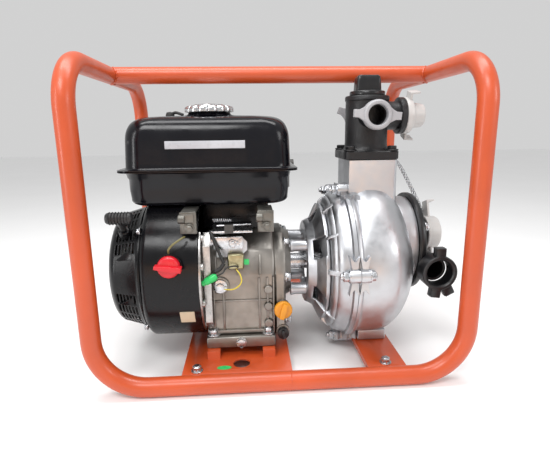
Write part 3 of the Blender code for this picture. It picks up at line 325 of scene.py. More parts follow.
def mottled(shader, colour, scale, spread):
    """Slow change of tone over the surface."""
    source = shader.noise(scale, 3.0)
    return shader.colour(source, [(0.3, scaled(colour, 1 - spread)), (0.7, scaled(colour, 1 + spread))])


def painted(name, colour, roughness, peel=0.05):
    """Sprayed enamel: slight orange peel, a slow change of tone and a soft change of gloss."""
    shader = Shader(name, colour, 0.0, roughness)
    mottled(shader, colour, 9.0, 0.10)
    shader.rough(shader.noise(35.0), roughness - 0.06, roughness + 0.09)
    shader.bump(shader.noise(420.0, 2.0), peel)
    shader.bump(shader.noise(60.0, 3.0), peel * 2)
    return shader


def casting(name, colour, roughness, grain=0.12, grain_scale=900.0, spread=0.12, metallic=1.0):
    """Sand or die casting: fine grain, soft hollows, stains and a changing polish."""
    shader = Shader(name, colour, metallic, roughness)
    mottled(shader, colour, 22.0, spread)
    shader.rough(shader.noise(70.0, 5.0), roughness - 0.10, roughness + 0.14)
    shader.bump(shader.noise(grain_scale, 3.0), grain)
    shader.bump(shader.noise(110.0, 4.0), grain * 1.6)
    return shader


def moulded(name, colour, roughness, grain=0.03):
    """Injection-moulded plastic with a fine spark-eroded grain."""
    shader = Shader(name, colour, 0.0, roughness)
    mottled(shader, colour, 30.0, 0.10)
    shader.rough(shader.noise(90.0), roughness - 0.06, roughness + 0.08)
    shader.bump(shader.noise(1400.0, 2.0), grain)
    return shader


def plated(name, colour, roughness, stretch=(1, 1, 1)):
    """Zinc plate: bright with clouded patches and fine drawn lines."""
    shader = Shader(name, colour, 1.0, roughness)
    mottled(shader, colour, 160.0, 0.16)
    shader.rough(shader.noise(300.0, 4.0), roughness - 0.08, roughness + 0.14)
    shader.bump(shader.noise(700.0, 3.0, stretch), 0.03)
    return shader


orange = painted("orange_enamel", (0.47, 0.064, 0.013), 0.38, 0.06)
orange.coat(0.2, 0.2)
tank_black = painted("tank_enamel", (0.003, 0.003, 0.005), 0.17, 0.02)
tank_black.specular(0.30)
shroud_black = painted("shroud_enamel", (0.003, 0.003, 0.004), 0.24, 0.03)
shroud_black.specular(0.26)
silver_dome = casting("silver_painted_casting", (0.50, 0.51, 0.53), 0.38, 0.04, 500.0, 0.04, 0.9)
bright_cast = casting("machined_casting", (0.46, 0.47, 0.49), 0.38, 0.08, 800.0, 0.12)
engine_cast = casting("engine_casting", (0.27, 0.255, 0.235), 0.40, 0.12, 900.0, 0.22)
bracket_cast = casting("bracket_casting", (0.17, 0.165, 0.15), 0.46, 0.12, 900.0, 0.25)
outlet_black = casting("textured_black_casting", (0.007, 0.007, 0.008), 0.42, 0.34, 620.0, 0.25, 0.0)
outlet_black.specular(0.4)
cover_black = moulded("cover_plastic", (0.006, 0.006, 0.007), 0.36, 0.05)
plug_black = moulded("plug_plastic", (0.005, 0.005, 0.006), 0.32, 0.04)
grip_black = moulded("grip_plastic", (0.016, 0.016, 0.017), 0.42, 0.08)
rubber_black = moulded("soft_rubber", (0.018, 0.018, 0.018), 0.62, 0.10)
nylon_grey = moulded("grey_nylon", (0.33, 0.33, 0.345), 0.42, 0.05)
cap_grey = moulded("pale_grey_nylon", (0.46, 0.45, 0.44), 0.40, 0.05)
red_plastic = moulded("red_switch", (0.52, 0.009, 0.018), 0.32, 0.04)
yellow_plastic = moulded("yellow_cap", (0.62, 0.25, 0.010), 0.36, 0.04)
green_plastic = moulded("green_sleeve", (0.02, 0.42, 0.10), 0.30, 0.03)
zinc = plated("zinc_plate", (0.52, 0.53, 0.55), 0.26)
bare_steel = plated("bare_steel", (0.42, 0.41, 0.40), 0.32, (1, 1, 0.05))
chrome_cap = plated("cap_chrome", (0.60, 0.61, 0.62), 0.20)
olive_zinc = plated("olive_zinc", (0.36, 0.33, 0.20), 0.36)
dark_iron = casting("dark_iron", (0.10, 0.098, 0.095), 0.55, 0.16, 700.0, 0.3)
sticker = moulded("label_silver", (0.42, 0.43, 0.46), 0.30, 0.01)
paper = moulded("plain_label", (0.50, 0.42, 0.30), 0.5, 0.01)
olive_wire = moulded("olive_wire", (0.16, 0.14, 0.05), 0.45, 0.03)
yellow_wire = moulded("yellow_wire", (0.62, 0.50, 0.05), 0.40, 0.03)


def set_node_material(shader, *nodes):
    """Give CAD nodes a finish; soften rounds their edges with modifiers that leave the solids alone."""
    for name in nodes:
        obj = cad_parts[name]
        obj.data.materials.clear()
        obj.data.materials.append(shader.material)


def soften(width, *nodes):
    """Clean up a CAD node's flat faces and round its edges."""
    for name in nodes:
        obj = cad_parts[name]
        weld = obj.modifiers.new("weld", "WELD")
        weld.merge_threshold = 0.00001
        planar = obj.modifiers.new("planar", "DECIMATE")
        planar.decimate_type = "DISSOLVE"
        planar.angle_limit = math.radians(1.5)
        bevel = obj.modifiers.new("edges", "BEVEL")
        bevel.width = width * MM
        bevel.segments = 2
        bevel.limit_method = "ANGLE"
        bevel.angle_limit = math.radians(38)
        bevel.harden_normals = False
        obj.data.shade_smooth()
        obj.data.set_sharp_from_angle(angle=math.radians(40))


# Frame --------------------------------------------------------------------------------------------------
def rounded_path(corners, radii, steps):
    points = [Vector(corners[0])]
    for before, corner, after, radius in zip(corners, corners[1:], corners[2:], radii):
        corner = Vector(corner)
        back = (Vector(before) - corner).normalized()
        ahead = (Vector(after) - corner).normalized()
        half = back.angle(ahead) / 2
        centre = corner + (back + ahead).normalized() * radius / math.sin(half)
        first = corner + back * radius / math.tan(half) - centre
        last = corner + ahead * radius / math.tan(half) - centre
        for i in range(steps + 1):
            points.append(centre + first.slerp(last, i / steps).normalized() * radius)
    points.append(Vector(corners[-1]))
    return points


def build_hoop(name, side, foot_x):
    corners = [(foot_x, -FRAME_Y, TUBE), (side * FRAME_X, -FRAME_Y, TUBE),
               (side * FRAME_X, -FRAME_Y, FRAME_TOP), (side * FRAME_X, FRAME_Y, FRAME_TOP),
               (side * FRAME_X, FRAME_Y, TUBE), (foot_x, FRAME_Y, TUBE)]
    work = bmesh.new()
    add_tube(work, rounded_path(corners, (68, 58, 58, 68), 18), TUBE, sides=40)
    finish(f"{name}_tube", work, orange, name)


def build_welds():
    """Butt weld beads on the lower tubes and fillet beads where the crossbar meets the hoops."""
    work = bmesh.new()
    outer = FRAME_Y + TUBE - 1.0
    for side in (-1, 1):
        count = 72
        ring = []
        radii = []
        for i in range(count):
            a = 2 * math.pi * i / count
            wobble = 0.12 * math.sin(17 * a)
            y = side * FRAME_Y + 12.35 * math.cos(a)
            ring.append((9.0 + wobble, max(-outer, min(outer, y)), max(1.0, TUBE + 12.35 * math.sin(a))))
            radii.append(0.75 + 0.12 * math.sin(23 * a))
        add_tube(work, ring, 0.7, sides=8, closed=True, radii=radii)
        ring = []
        radii = []
        for i in range(count):
            a = 2 * math.pi * i / count
            y = 2 + TUBE * math.cos(a)
            z = FRAME_TOP + min(TUBE * math.sin(a) * 0.985, TUBE - 1.9)
            x = side * (FRAME_X - math.sqrt(max(0.0, TUBE ** 2 - (TUBE * math.sin(a)) ** 2)) - 0.6)
            ring.append((x, y, z))
            radii.append(1.5 + 0.3 * math.sin(19 * a))
        add_tube(work, ring, 1.5, sides=8, closed=True, radii=radii)
    return finish("frame_weld_beads", work, orange)


def build_frame():
    build_hoop("left_frame_hoop", -1, 8.8)
    build_hoop("right_frame_hoop", 1, 9.2)
    work = bmesh.new()
    reach = node_box("top_crossbar")[1][0] - 1
    add_tube(work, [(-reach, 2, FRAME_TOP), (0, 2, FRAME_TOP), (reach, 2, FRAME_TOP)], TUBE, sides=40)
    finish("crossbar_tube", work, orange, "top_crossbar")
    build_welds()
    set_node_material(orange, "engine_plate", "pump_plate")
    soften(0.9, "engine_plate", "pump_plate")
    work = bmesh.new()
    for x in (-119, 145):
        for y in (-163, 163):
            add_screw(work, (x, y, 21.1), (0, 0, 1), 11, 6.2)
    for x in (-98, -18):
        for y in (-114, 48):
            add_screw(work, (x, y, 50.1), (0, 0, 1), 13, 7.4)
    finish("frame_fasteners", work, zinc, bevel=0.25, segments=2)


# Engine -------------------------------------------------------------------------------------------------
FAN_X = (-192.0, -113.0)


def housing_radius(turn):
    """Distance from the crank axis to the fan housing's wall; turn 0 points to the rear and 90 degrees up."""
    c, s = math.cos(turn), math.sin(turn)
    limits = [106 / max(abs(s), 1e-3) if c > 0 else 106.0]
    if c > 0:
        limits.append(124 / max(c, 1e-3))
        limits.append(193.5 / max(c + abs(s), 1e-3))
    else:
        limits.append(105.2 / max(-c, 1e-3))
    power = 26.0
    return sum((1 / r) ** power for r in limits) ** (-1 / power)


def build_fan_housing():
    count = 160
    round_over = 9.0
    rows = [(FAN_X[1], 0.0), (FAN_X[1] - 2, 0.0)]
    for k in range(7):
        a = math.radians(90 * k / 6)
        rows.append((FAN_X[0] + round_over * (1 - math.sin(a)), round_over * (1 - math.cos(a))))
    outer = []
    inner = []
    for x, inset in rows:
        ring = []
        back = []
        for i in range(count):
            turn = 2 * math.pi * i / count
            r = min(housing_radius(turn), 124.0) - inset
            ring.append((x, CRANK_Y + r * math.cos(turn), CRANK_Z + r * math.sin(turn)))
            thin = r - 2.5
            back.append((x + 2.5 * (inset > 0), CRANK_Y + thin * math.cos(turn),
                         CRANK_Z + thin * math.sin(turn)))
        outer.append(ring)
        inner.append(back)
    hole = 88.0
    for target, x in ((outer, FAN_X[0]), (inner, FAN_X[0] + 2.5)):
        target.append([(x, CRANK_Y + hole * math.cos(2 * math.pi * i / count),
                        CRANK_Z + hole * math.sin(2 * math.pi * i / count)) for i in range(count)])
    work = bmesh.new()
    add_rings(work, outer + inner[::-1], ring_loop=True)
    finish("fan_housing_shell", work, shroud_black, "fan_housing", smooth=50)


def build_recoil_cover():
    """Domed cover with rings of short cooling slots above and below a plain front."""
    rim = FAN_X[0] - 0.35
    outer = [(97, 0), (97, 2.5), (93.5, 5), (92.6, 7)]
    slot_rows = []
    height, radius = 7.0, 92.6
    for i in range(6):
        height += 2.3
        radius -= 0.55
        outer.append((radius, height))
        slot_rows.append(len(outer) - 1)
        height += 2.6
        radius -= 0.9
        outer.append((radius, height))
    outer += [(83.5, 38.5), (80.5, 42.5), (76, 46), (70, 48.6), (60, 50.6), (44, 52.2), (24, 53.0), (3, 53.3)]
    steps = 144
    place = Matrix.Translation((rim, CRANK_Y, CRANK_Z))

    def angle_of(k):
        return 360.0 * (k + 0.5) / steps

    def keep(i, k):
        # 0 degrees faces the operator and 90 is up.
        if i not in slot_rows:
            return True
        angle = angle_of(k)
        open_sector = 26 < angle < 82 or 98 < angle < 172 or 188 < angle < 262 or 278 < angle < 352
        return not open_sector or k % 5 == 0

    def rings_of(profile):
        rings = []
        for radius_here, height_here in profile:
            ring = []
            for k in range(steps):
                turn = 2 * math.pi * k / steps
                ring.append(place @ Vector((-height_here, -radius_here * math.cos(turn),
                                            radius_here * math.sin(turn))))
            rings.append(ring)
        return rings

    work = bmesh.new()
    add_rings(work, rings_of(outer), closed_ends=False, keep=keep)
    cap = [v for v in work.verts if abs(v.co.x - (rim - 53.3)) < 0.01]
    bmesh.ops.contextual_create(work, geom=cap)
    cover = finish("recoil_cover_shell", work, shroud_black, "recoil_cover", smooth=42)
    shell = cover.modifiers.new("wall", "SOLIDIFY")
    shell.thickness = 1.8 * MM
    shell.offset = -1
    edge = cover.modifiers.new("edges", "BEVEL")
    edge.width = 0.35 * MM
    edge.segments = 1
    edge.limit_method = "ANGLE"
    edge.angle_limit = math.radians(55)

    # Dark baffle behind the slots, and the raised wedge on the plain front.
    work = bmesh.new()
    add_turned(work, [(86, 4), (81, 28), (70, 40), (2, 42)], (rim, CRANK_Y, CRANK_Z), (-1, 0, 0), steps=72)
    finish("recoil_baffle", work, dark_iron)
    work = bmesh.new()
    for angle, scale in ((22, 1.0), (-20, 0.7)):
        y0, z0 = around(angle, 88.5)
        y1, z1 = around(angle + 10 * scale, 87.0)
        outline = [(rim - 12, 0.0), (rim - 34, 0.0), (rim - 14, 1.0)]
        low = [Vector((x, y0 if t == 0 else y1, z0 if t == 0 else z1)) for x, t in outline]
        out = Vector((0, -math.cos(math.radians(angle)), math.sin(math.radians(angle))))
        high = [p + out * h for p, h in zip(low, (3.8, 1.2, 2.2))]
        sunk = [p - out * 6 for p in low]
        add_rings(work, [sunk, high])
    inward = Vector((0, math.cos(math.radians(48)), -math.sin(math.radians(48))))
    place = ((node_box("starter_grip")[0][0] + node_box("starter_grip")[1][0]) / 2, *around(48, 97.6))
    add_turned(work, [(6.4, 0), (7.6, 1.2), (8.2, 5), (9.4, 11), (11, 15)], place, inward, steps=40)
    finish("recoil_cover_ridges", work, shroud_black, smooth=20, bevel=0.5)
    work = bmesh.new()
    for angle in (45, 135, 225, 315):
        y, z = around(angle, 100.2)
        add_screw(work, (FAN_X[0] - 0.1, y, z), (-1, 0, 0), 7, 3.5)
    finish("recoil_cover_screws", work, zinc)


def build_starter_grip():
    """Pull grip with a waist, on its short moulded stem."""
    low, high = node_box("starter_grip")
    y, z = around(48, 124)
    centre_x = (low[0] + high[0]) / 2
    half = (high[0] - low[0]) / 2
    work = bmesh.new()
    profile = []
    for i in range(25):
        t = -1 + 2 * i / 24
        r = 8.8 * (1 - abs(t) ** 7) ** 0.5 * (0.86 + 0.14 * t * t) + 0.2
        profile.append((r, t * half * 0.99))
    add_turned(work, profile, (centre_x, y, z), (1, 0, 0), steps=40)
    inward = Vector((0, math.cos(math.radians(48)), -math.sin(math.radians(48))))
    stem = [(5.8, 4), (5.4, 14), (4.4, 20), (4.0, 25)]
    add_turned(work, stem, (centre_x, y, z), inward, steps=32)
    for i in range(7):
        add_turned(work, [(8.2, -0.7), (8.9, 0), (8.2, 0.7)], (centre_x - 12 + 4 * i, y, z), (1, 0, 0),
                   steps=32)
    finish("starter_grip_moulding", work, grip_black, "starter_grip", body="pull_grip", smooth=50)


def build_switch():
    """Round red stop switch with a diametral grip bar and a bezel."""
    low = node_box("engine_switch")[0]
    x, z = -150.0, 169.0
    face = -151.35
    work = bmesh.new()
    add_turned(work, [(15, 0), (15, 4.5), (14.4, 6.5), (13, 8.2), (10, 9.2), (2, 9.6)], (x, face, z),
               (0, -1, 0))
    bar = [(-17.6, -2.2), (-6, -3.2), (17.6, -3.6), (17.6, 3.6), (-6, 3.2), (-17.6, 2.2)]
    add_prism(work, bar, "Y", low[1] + 0.4, face - 3, turned_place((x, 0, z), 8, "Y"))
    add_turned(work, [(5.9, -8), (5.9, 2)], (x, face, z), (0, -1, 0), steps=40)
    finish("stop_switch_knob", work, red_plastic, "engine_switch", body="stop_switch", bevel=0.6)
    work = bmesh.new()
    ring = [(15.4, 0), (17.0, 0), (17.0, 0.8), (16.6, 1.2), (15.7, 1.2), (15.4, 0.9)]
    add_turned(work, ring, (x, face + 0.3, z), (0, -1, 0), steps=72, loop=True)
    finish("stop_switch_bezel", work, shroud_black)


def build_engine_body():
    set_node_material(engine_cast, "crankcase", "crankcase_side_cover", "cylinder_head")
    soften(0.9, "crankcase", "crankcase_side_cover")
    soften(0.4, "cylinder_head")
    set_node_material(shroud_black, "rocker_cover")
    soften(1.2, "rocker_cover")
    set_node_material(dark_iron, "muffler", "throttle_lever", "choke_lever", "flywheel")
    soften(1.0, "muffler")
    soften(0.4, "throttle_lever", "choke_lever", "flywheel")
    set_node_material(zinc, "spark_plug", "oil_drain_bolt", "oil_level_switch", "governor_arm",
                      "control_plate", "crankshaft", "camshaft")
    soften(0.4, "spark_plug", "oil_drain_bolt", "oil_level_switch", "governor_arm", "control_plate")
    set_node_material(rubber_black, "spark_plug_cap", "mechanical_seal", "check_valve_flap")
    soften(0.6, "spark_plug_cap")
    set_node_material(bare_steel, "side_stay")
    soften(0.4, "side_stay")
    set_node_material(bright_cast, "piston", "connecting_rod", "carburetor", "impeller")
    soften(0.6, "carburetor")
    set_node_material(cover_black, "air_cleaner_base", "air_cleaner_cover", "air_cleaner_nut",
                      "starter_pulley", "oil_level_plug")
    soften(2.2, "air_cleaner_base", "air_cleaner_cover")
    soften(0.7, "air_cleaner_nut", "oil_level_plug")
    set_node_material(red_plastic, "fuel_valve_lever")
    soften(0.5, "fuel_valve_lever")
    set_node_material(bracket_cast, "tank_bracket_left", "tank_bracket_right")
    set_node_material(olive_zinc, "oil_alert_unit")
    soften(0.7, "tank_bracket_left", "tank_bracket_right", "oil_alert_unit")
    work = bmesh.new()
    for y, z in ((-102, 66), (-102, 132), (-76, 178), (-14, 184), (30, 112), (36, 56)):
        add_screw(work, (9.0, y, z), (1, 0, 0), 10.8, 6.6)
    add_screw(work, (-66, -122.5, 190), (0, -1, 0), 8, 5)
    add_screw(work, (-98, -118.6, 192), (0, -1, 0), 7, 4)
    finish("cover_screws", work, zinc, bevel=0.2, segments=2)
    build_crankcase_ribs()


def build_crankcase_ribs():
    """Raised webs, a parting flange and bosses on the front of the crankcase."""
    work = bmesh.new()
    front = -112.2
    for x in (-96, -82, -30, -18):
        add_box(work, (x - 1.6, x + 1.6), (front - 3.4, front + 4), (52, 136))
    add_box(work, (-104, -12), (front - 4.6, front + 3), (52, 57))
    add_box(work, (-104, -12), (front - 2.4, front + 3), (100, 103))
    add_box(work, (-10.5, -8.3), (front - 5, front + 6), (48, 138))
    for z in (66, 92, 118):
        add_turned(work, [(6.4, 0), (6.4, 7), (5.6, 8)], (-17, front + 2, z), (0, -1, 0), steps=40)
    add_turned(work, [(13, -3), (13, 4.5), (12, 5.5)], (-86, front + 2, 126), (0, -1, 0), steps=48)
    slope = Euler((math.radians(-22), 0, 0))
    for x in (-92, -60, -28):
        add_box(work, 3.2, 5, 30, slope, (x, -108.5, 154))
    finish("crankcase_webs", work, engine_cast, bevel=0.8)


def build_flange_bosses_shade_panel_and_labels():
    """Cast flange behind the fan housing's open side, a black panel between the tank brackets as painted
    shade, and plain labels.
    """
    work = bmesh.new()
    rings = []
    for x in (-112.6, -109.4):
        ring = [(x, *around(a, 103.5)) for a in range(-58, 43, 4)]
        ring += [(x, *around(a, 66)) for a in range(40, -60, -4)]
        rings.append(ring)
    add_rings(work, rings)
    for angle in (-50, -18, 14, 38):
        y, z = around(angle, 96)
        add_turned(work, [(5.6, 0), (5.6, 3.4), (5.0, 4.2)], (-110, y, z), (1, 0, 0), steps=32)
    finish("shroud_flange", work, bare_steel, bevel=0.6)
    # Black panel with three ribs between the tank brackets: painted shade that darkens the gap over the lit
    # cylinder head and linkage behind it.
    work = bmesh.new()
    outline = [(-111, 199), (-15, 199), (-15, 230), (-24, 237.5), (-104, 237.5), (-111, 230)]
    add_prism(work, outline, "Y", -62, -60.4)
    for x in (-92, -64, -36):
        add_box(work, (x - 9, x + 9), (-64, -61), (214, 217))
    finish("shade_panel_between_brackets", work, shroud_black, bevel=0.5)
    work = bmesh.new()
    for x in (-124, -20):
        add_turned(work, [(5.6, 0), (6.2, 0.8), (6.2, 8), (5.4, 9)], (x - 4, -136.2, 229), (-1, 0, 0.05),
                   steps=36)
        add_box(work, (x - 8, x + 8), (-138.6, -135.8), (224.5, 236))
        add_screw(work, (x + 2, -138.4, 217), (0, -1, 0), 9, 5)
    finish("tank_mount_bosses", work, bracket_cast, bevel=0.6)
    work = bmesh.new()
    rings = []
    for x in (-141, -121):
        rings.append([(x, *around(a, 106.5)) for a in (-33, -29, -25, -21.5)]
                     + [(x, *around(a, 105.2)) for a in (-21.5, -25, -29, -33)])
    add_rings(work, rings)
    finish("housing_label", work, paper)
    work = bmesh.new()
    ring_low, ring_high = [], []
    for k in range(40):
        t = 2 * math.pi * k / 40
        ring_low.append((-82 + 10 * math.cos(t), -158 + 5 * math.sin(t), 20.6))
        ring_high.append((-82 + 10 * math.cos(t), -158 + 5 * math.sin(t), 21.25))
    add_rings(work, [ring_low, ring_high])
    add_box(work, (-58, -44), (-119.4, -117.9), (158, 166))
    finish("round_label", work, green_plastic)


def build_filler_cap():
    low = node_box("oil_filler_cap")[0]
    x, z = 4.0, 88.0
    start = -118.35
    work = bmesh.new()

    def knurl(i, turn, radius):
        return radius + (0.35 * math.cos(26 * turn) if i in (1, 2) else 0.0)

    add_turned(work, [(12.4, 0), (13.0, 0.6), (13.0, 5.6), (12.2, 6.8), (8, 7.4), (1, 7.4)], (x, start, z),
               (0, -1, 0), steps=156, radius_of=knurl)
    bar = [(-3.2, -11.6), (3.2, -11.6), (4.2, 0), (3.2, 11.6), (-3.2, 11.6), (-4.2, 0)]
    add_prism(work, bar, "Y", low[1] + 0.3, start - 5, turned_place((x, 0, z), 15, "Y"))
    add_turned(work, [(7.2, -10), (7.2, 2)], (x, start, z), (0, -1, 0), steps=48)
    finish("oil_filler_cap_moulding", work, yellow_plastic, "oil_filler_cap", body="oil_cap", bevel=0.5)


def build_wiring():
    """Switch lead, bullet connector with two thin leads, and the sensor lead looping to the alert unit."""
    route = [(-150, -148, 186), (-149, -152.4, 192), (-143, -153.4, 199), (-136, -151, 203.5),
             (-131, -146, 206), (-129, -140.5, 206)]
    work = bmesh.new()
    add_tube(work, smooth_line(route, 8), 1.35, sides=16)
    finish("switch_lead", work, olive_wire, "switch_wire")

    centre = Vector(middle("wire_connector"))
    along = Vector((0.88, 0, 0.47)).normalized()
    work = bmesh.new()
    profile = [(2.0, -12), (3.4, -11.6), (3.9, -10), (3.9, -6), (5.2, -5.4), (5.3, 0), (4.9, 0.4),
               (4.9, 1.2), (5.3, 1.6), (5.3, 8), (4.6, 9.5), (3.0, 11.8), (1.6, 12)]
    add_turned(work, profile, centre, along, steps=48)
    finish("bullet_connector", work, green_plastic, "wire_connector")

    work = bmesh.new()
    tail = centre + along * 11
    leads = [tail, tail + Vector((9, -1, 5)), (-76, -133, 158), (-66, -131, 160), (-60, -127, 158),
             (-60, -124, 156)]
    add_tube(work, smooth_line(leads, 8), 1.1, sides=12)
    front = centre - along * 11
    add_tube(work, smooth_line([front, front + Vector((-3, 1, -3)), (-116, -134, 127), (-112, -124, 122),
                                (-106, -116, 124)], 8), 1.3, sides=12)
    finish("connector_leads", work, rubber_black)
    work = bmesh.new()
    loop = [(-62, -125, 153), (-57, -129, 147), (-55, -130, 138), (-59, -129, 130), (-68, -126, 124),
            (-80, -124.6, 124)]
    add_tube(work, smooth_line(loop, 8), 0.95, sides=12)
    front = centre - along * 11 + Vector((0, -0.6, 1.6))
    add_tube(work, smooth_line([front, front + Vector((-3, 0.6, -1.5)), (-113, -133.5, 130),
                                (-110, -125, 127)], 8), 0.9, sides=12)
    finish("sensor_lead", work, yellow_wire)


def build_linkage():
    """Governor spring, throttle rod and black strap under the tank."""
    work = bmesh.new()
    rod = [(-88, -112, 214), (-60, -112, 214.5), (-40, -108, 214)]
    add_tube(work, smooth_line(rod, 6), 1.0, sides=12)
    coil = []
    turns, steps = 9, 14
    for i in range(turns * steps + 1):
        a = 2 * math.pi * i / steps
        coil.append((-94 + 26 * i / (turns * steps), -104 + 2.6 * math.cos(a), 220 + 2.6 * math.sin(a)))
    add_tube(work, coil, 0.5, sides=8)
    finish("governor_spring", work, zinc)
    work = bmesh.new()
    strap = [(-97, -113, 206), (-95, -119, 203), (-90, -122.5, 190), (-83, -124.5, 172), (-79, -125.5, 163)]
    add_tube(work, smooth_line(strap, 8), 2.2, sides=16)
    add_tube(work, smooth_line([(-79, -126, 163), (-84, -128, 156), (-92, -131, 152)], 8), 2.8, sides=16)
    finish("wire_loom", work, rubber_black)
    work = bmesh.new()
    add_prism(work, [(-90, 196), (-52, 196), (-46, 190), (-46, 178), (-56, 168), (-90, 168)], "Y", -113.5,
              -111.5)
    finish("governor_shield", work, bright_cast, bevel=0.5)


# Tank ---------------------------------------------------------------------------------------------------
def tank_ring(half_x, half_y, corner, z, shift_y=0.0, dip=0.0, steps=14):
    """Rounded rectangle about the tank's centre. dip lowers its front edge and leaves the rear edge."""
    ring = rounded_ring((0, 0), half_x, half_y, corner, z, steps)
    return [(TANK_X + x, TANK_Y + y + shift_y, z - dip * (half_y - y) / (2 * half_y)) for x, y, z in ring]


def build_tank():
    neck = TANK_CAP_Y - TANK_Y
    rings = [tank_ring(118, 90, 23, SEAM_Z + 0.2), tank_ring(126.4, 98.4, 21.6, SEAM_Z + 0.2),
             tank_ring(127, 99, 22, SEAM_Z + 0.6), tank_ring(127, 99, 22, SEAM_Z + 1.5),
             tank_ring(126.2, 98.2, 21.5, SEAM_Z + 1.9), tank_ring(119.6, 91.6, 25, SEAM_Z + 2.3),
             tank_ring(118.4, 90.4, 26, SEAM_Z + 3.4), tank_ring(118, 90, 26, SEAM_Z + 5)]
    for i in range(1, 8):
        t = i / 7
        rings.append(tank_ring(118 - 1.6 * t, 90 - 1.6 * t, 26, SEAM_Z + 5 + 36 * t))
    shoulder = smooth_line([(116.4, 0, 331), (115.6, 0, 339), (113.6, 0, 347), (109.4, 0, 355),
                            (102.6, 0, 360.6), (93, 0, 363.8), (80, 0, 365.2)], 3)
    for half, _y, z in shoulder:
        t = (116.4 - half) / 36.4
        rings.append(tank_ring(half, half - 28 + 3 * t, 26 + 10 * t, z))
    rings.append(tank_ring(60, 46, 34, 365.7, neck * 0.2))
    rings.append(tank_ring(42, 41, 40, 366.2, neck * 0.75))
    rings += [tank_ring(34, 34, 33.8, 367.2, neck), tank_ring(32, 32, 31.8, 368.6, neck),
              tank_ring(31, 31, 30.8, 370.8, neck)]
    work = bmesh.new()
    add_rings(work, rings)
    finish("tank_upper_pressing", work, tank_black, "fuel_tank_upper", smooth=55)

    rings = [tank_ring(118, 90, 23, SEAM_Z - 0.2), tank_ring(126.4, 98.4, 21.6, SEAM_Z - 0.2),
             tank_ring(127, 99, 22, SEAM_Z - 0.6), tank_ring(127, 99, 22, SEAM_Z - 1.5),
             tank_ring(126.2, 98.2, 21.5, SEAM_Z - 1.9), tank_ring(119.6, 91.6, 25, SEAM_Z - 2.3),
             tank_ring(118.2, 90.2, 26, SEAM_Z - 4), tank_ring(117, 89, 26, SEAM_Z - 10),
             tank_ring(115.4, 87.4, 26, SEAM_Z - 12.5), tank_ring(115.2, 87.2, 26, SEAM_Z - 26, dip=2),
             tank_ring(114, 86, 26, 256, dip=7)]
    for i in range(1, 9):
        a = math.radians(90 * i / 8)
        rings.append(tank_ring(106 + 8 * math.cos(a), 78 + 8 * math.cos(a), 25, 255 - 8 * math.sin(a), dip=7))
    rings.append(tank_ring(92, 58, 20, 247.2))
    work = bmesh.new()
    add_rings(work, rings)
    finish("tank_lower_pressing", work, tank_black, "fuel_tank_lower", smooth=55)

    low, high = node_box("tank_front_bar")
    work = bmesh.new()
    add_box(work, (low[0] + 0.2, high[0] - 0.2), (low[1] + 1.6, high[1] + 1.5), (low[2] + 0.2, high[2] - 0.2))
    finish("tank_badge_bar", work, sticker, "tank_front_bar", bevel=0.5)


def build_fuel_cap():
    base = node_box("fuel_cap")[0][2]
    flutes = 14

    def fluted(i, turn, radius):
        if 1 <= i <= 4:
            wave = abs(math.cos(flutes * turn / 2)) ** 0.55
            return radius - 3.2 * (1 - wave)
        return radius

    profile = [(34, 0), (36.6, 0.4), (36.7, 3), (36.4, 6.2), (35.0, 8.0), (32, 8.9), (29, 8.9), (27.6, 7.6),
               (25, 7.4), (23.6, 10.4), (21, 11.3), (10, 11.5), (1, 11.5)]
    work = bmesh.new()
    add_turned(work, profile, (TANK_X, TANK_CAP_Y, base), (0, 0, 1), steps=280, radius_of=fluted)
    finish("fuel_cap_pressing", work, chrome_cap, "fuel_cap", body="tank_cap", smooth=45)
    work = bmesh.new()
    add_turned(work, [(6.5, 0), (6.5, 4), (5, 7.5), (1, 8.5)], (-158, -22, 364.4), (0, 0, 1), steps=40)
    add_tube(work, smooth_line([(-158, -22, 368), (-150, -24, 371.5), (-143, -27, 370), (-137.5, -29, 368)],
                               8), 2.2, sides=16)
    finish("cap_tether", work, rubber_black)


# Pump ---------------------------------------------------------------------------------------------------
def volute_ring(x, radius, swell, count=FINE * 2):
    """Round below, swelling towards the outlet above."""
    ring = []
    for i in range(count):
        angle = 360.0 * i / count
        lift = max(0.0, math.sin(math.radians(angle))) ** 3
        y, z = around(angle, radius * (1 + swell * lift))
        ring.append((x, y, z))
    return ring


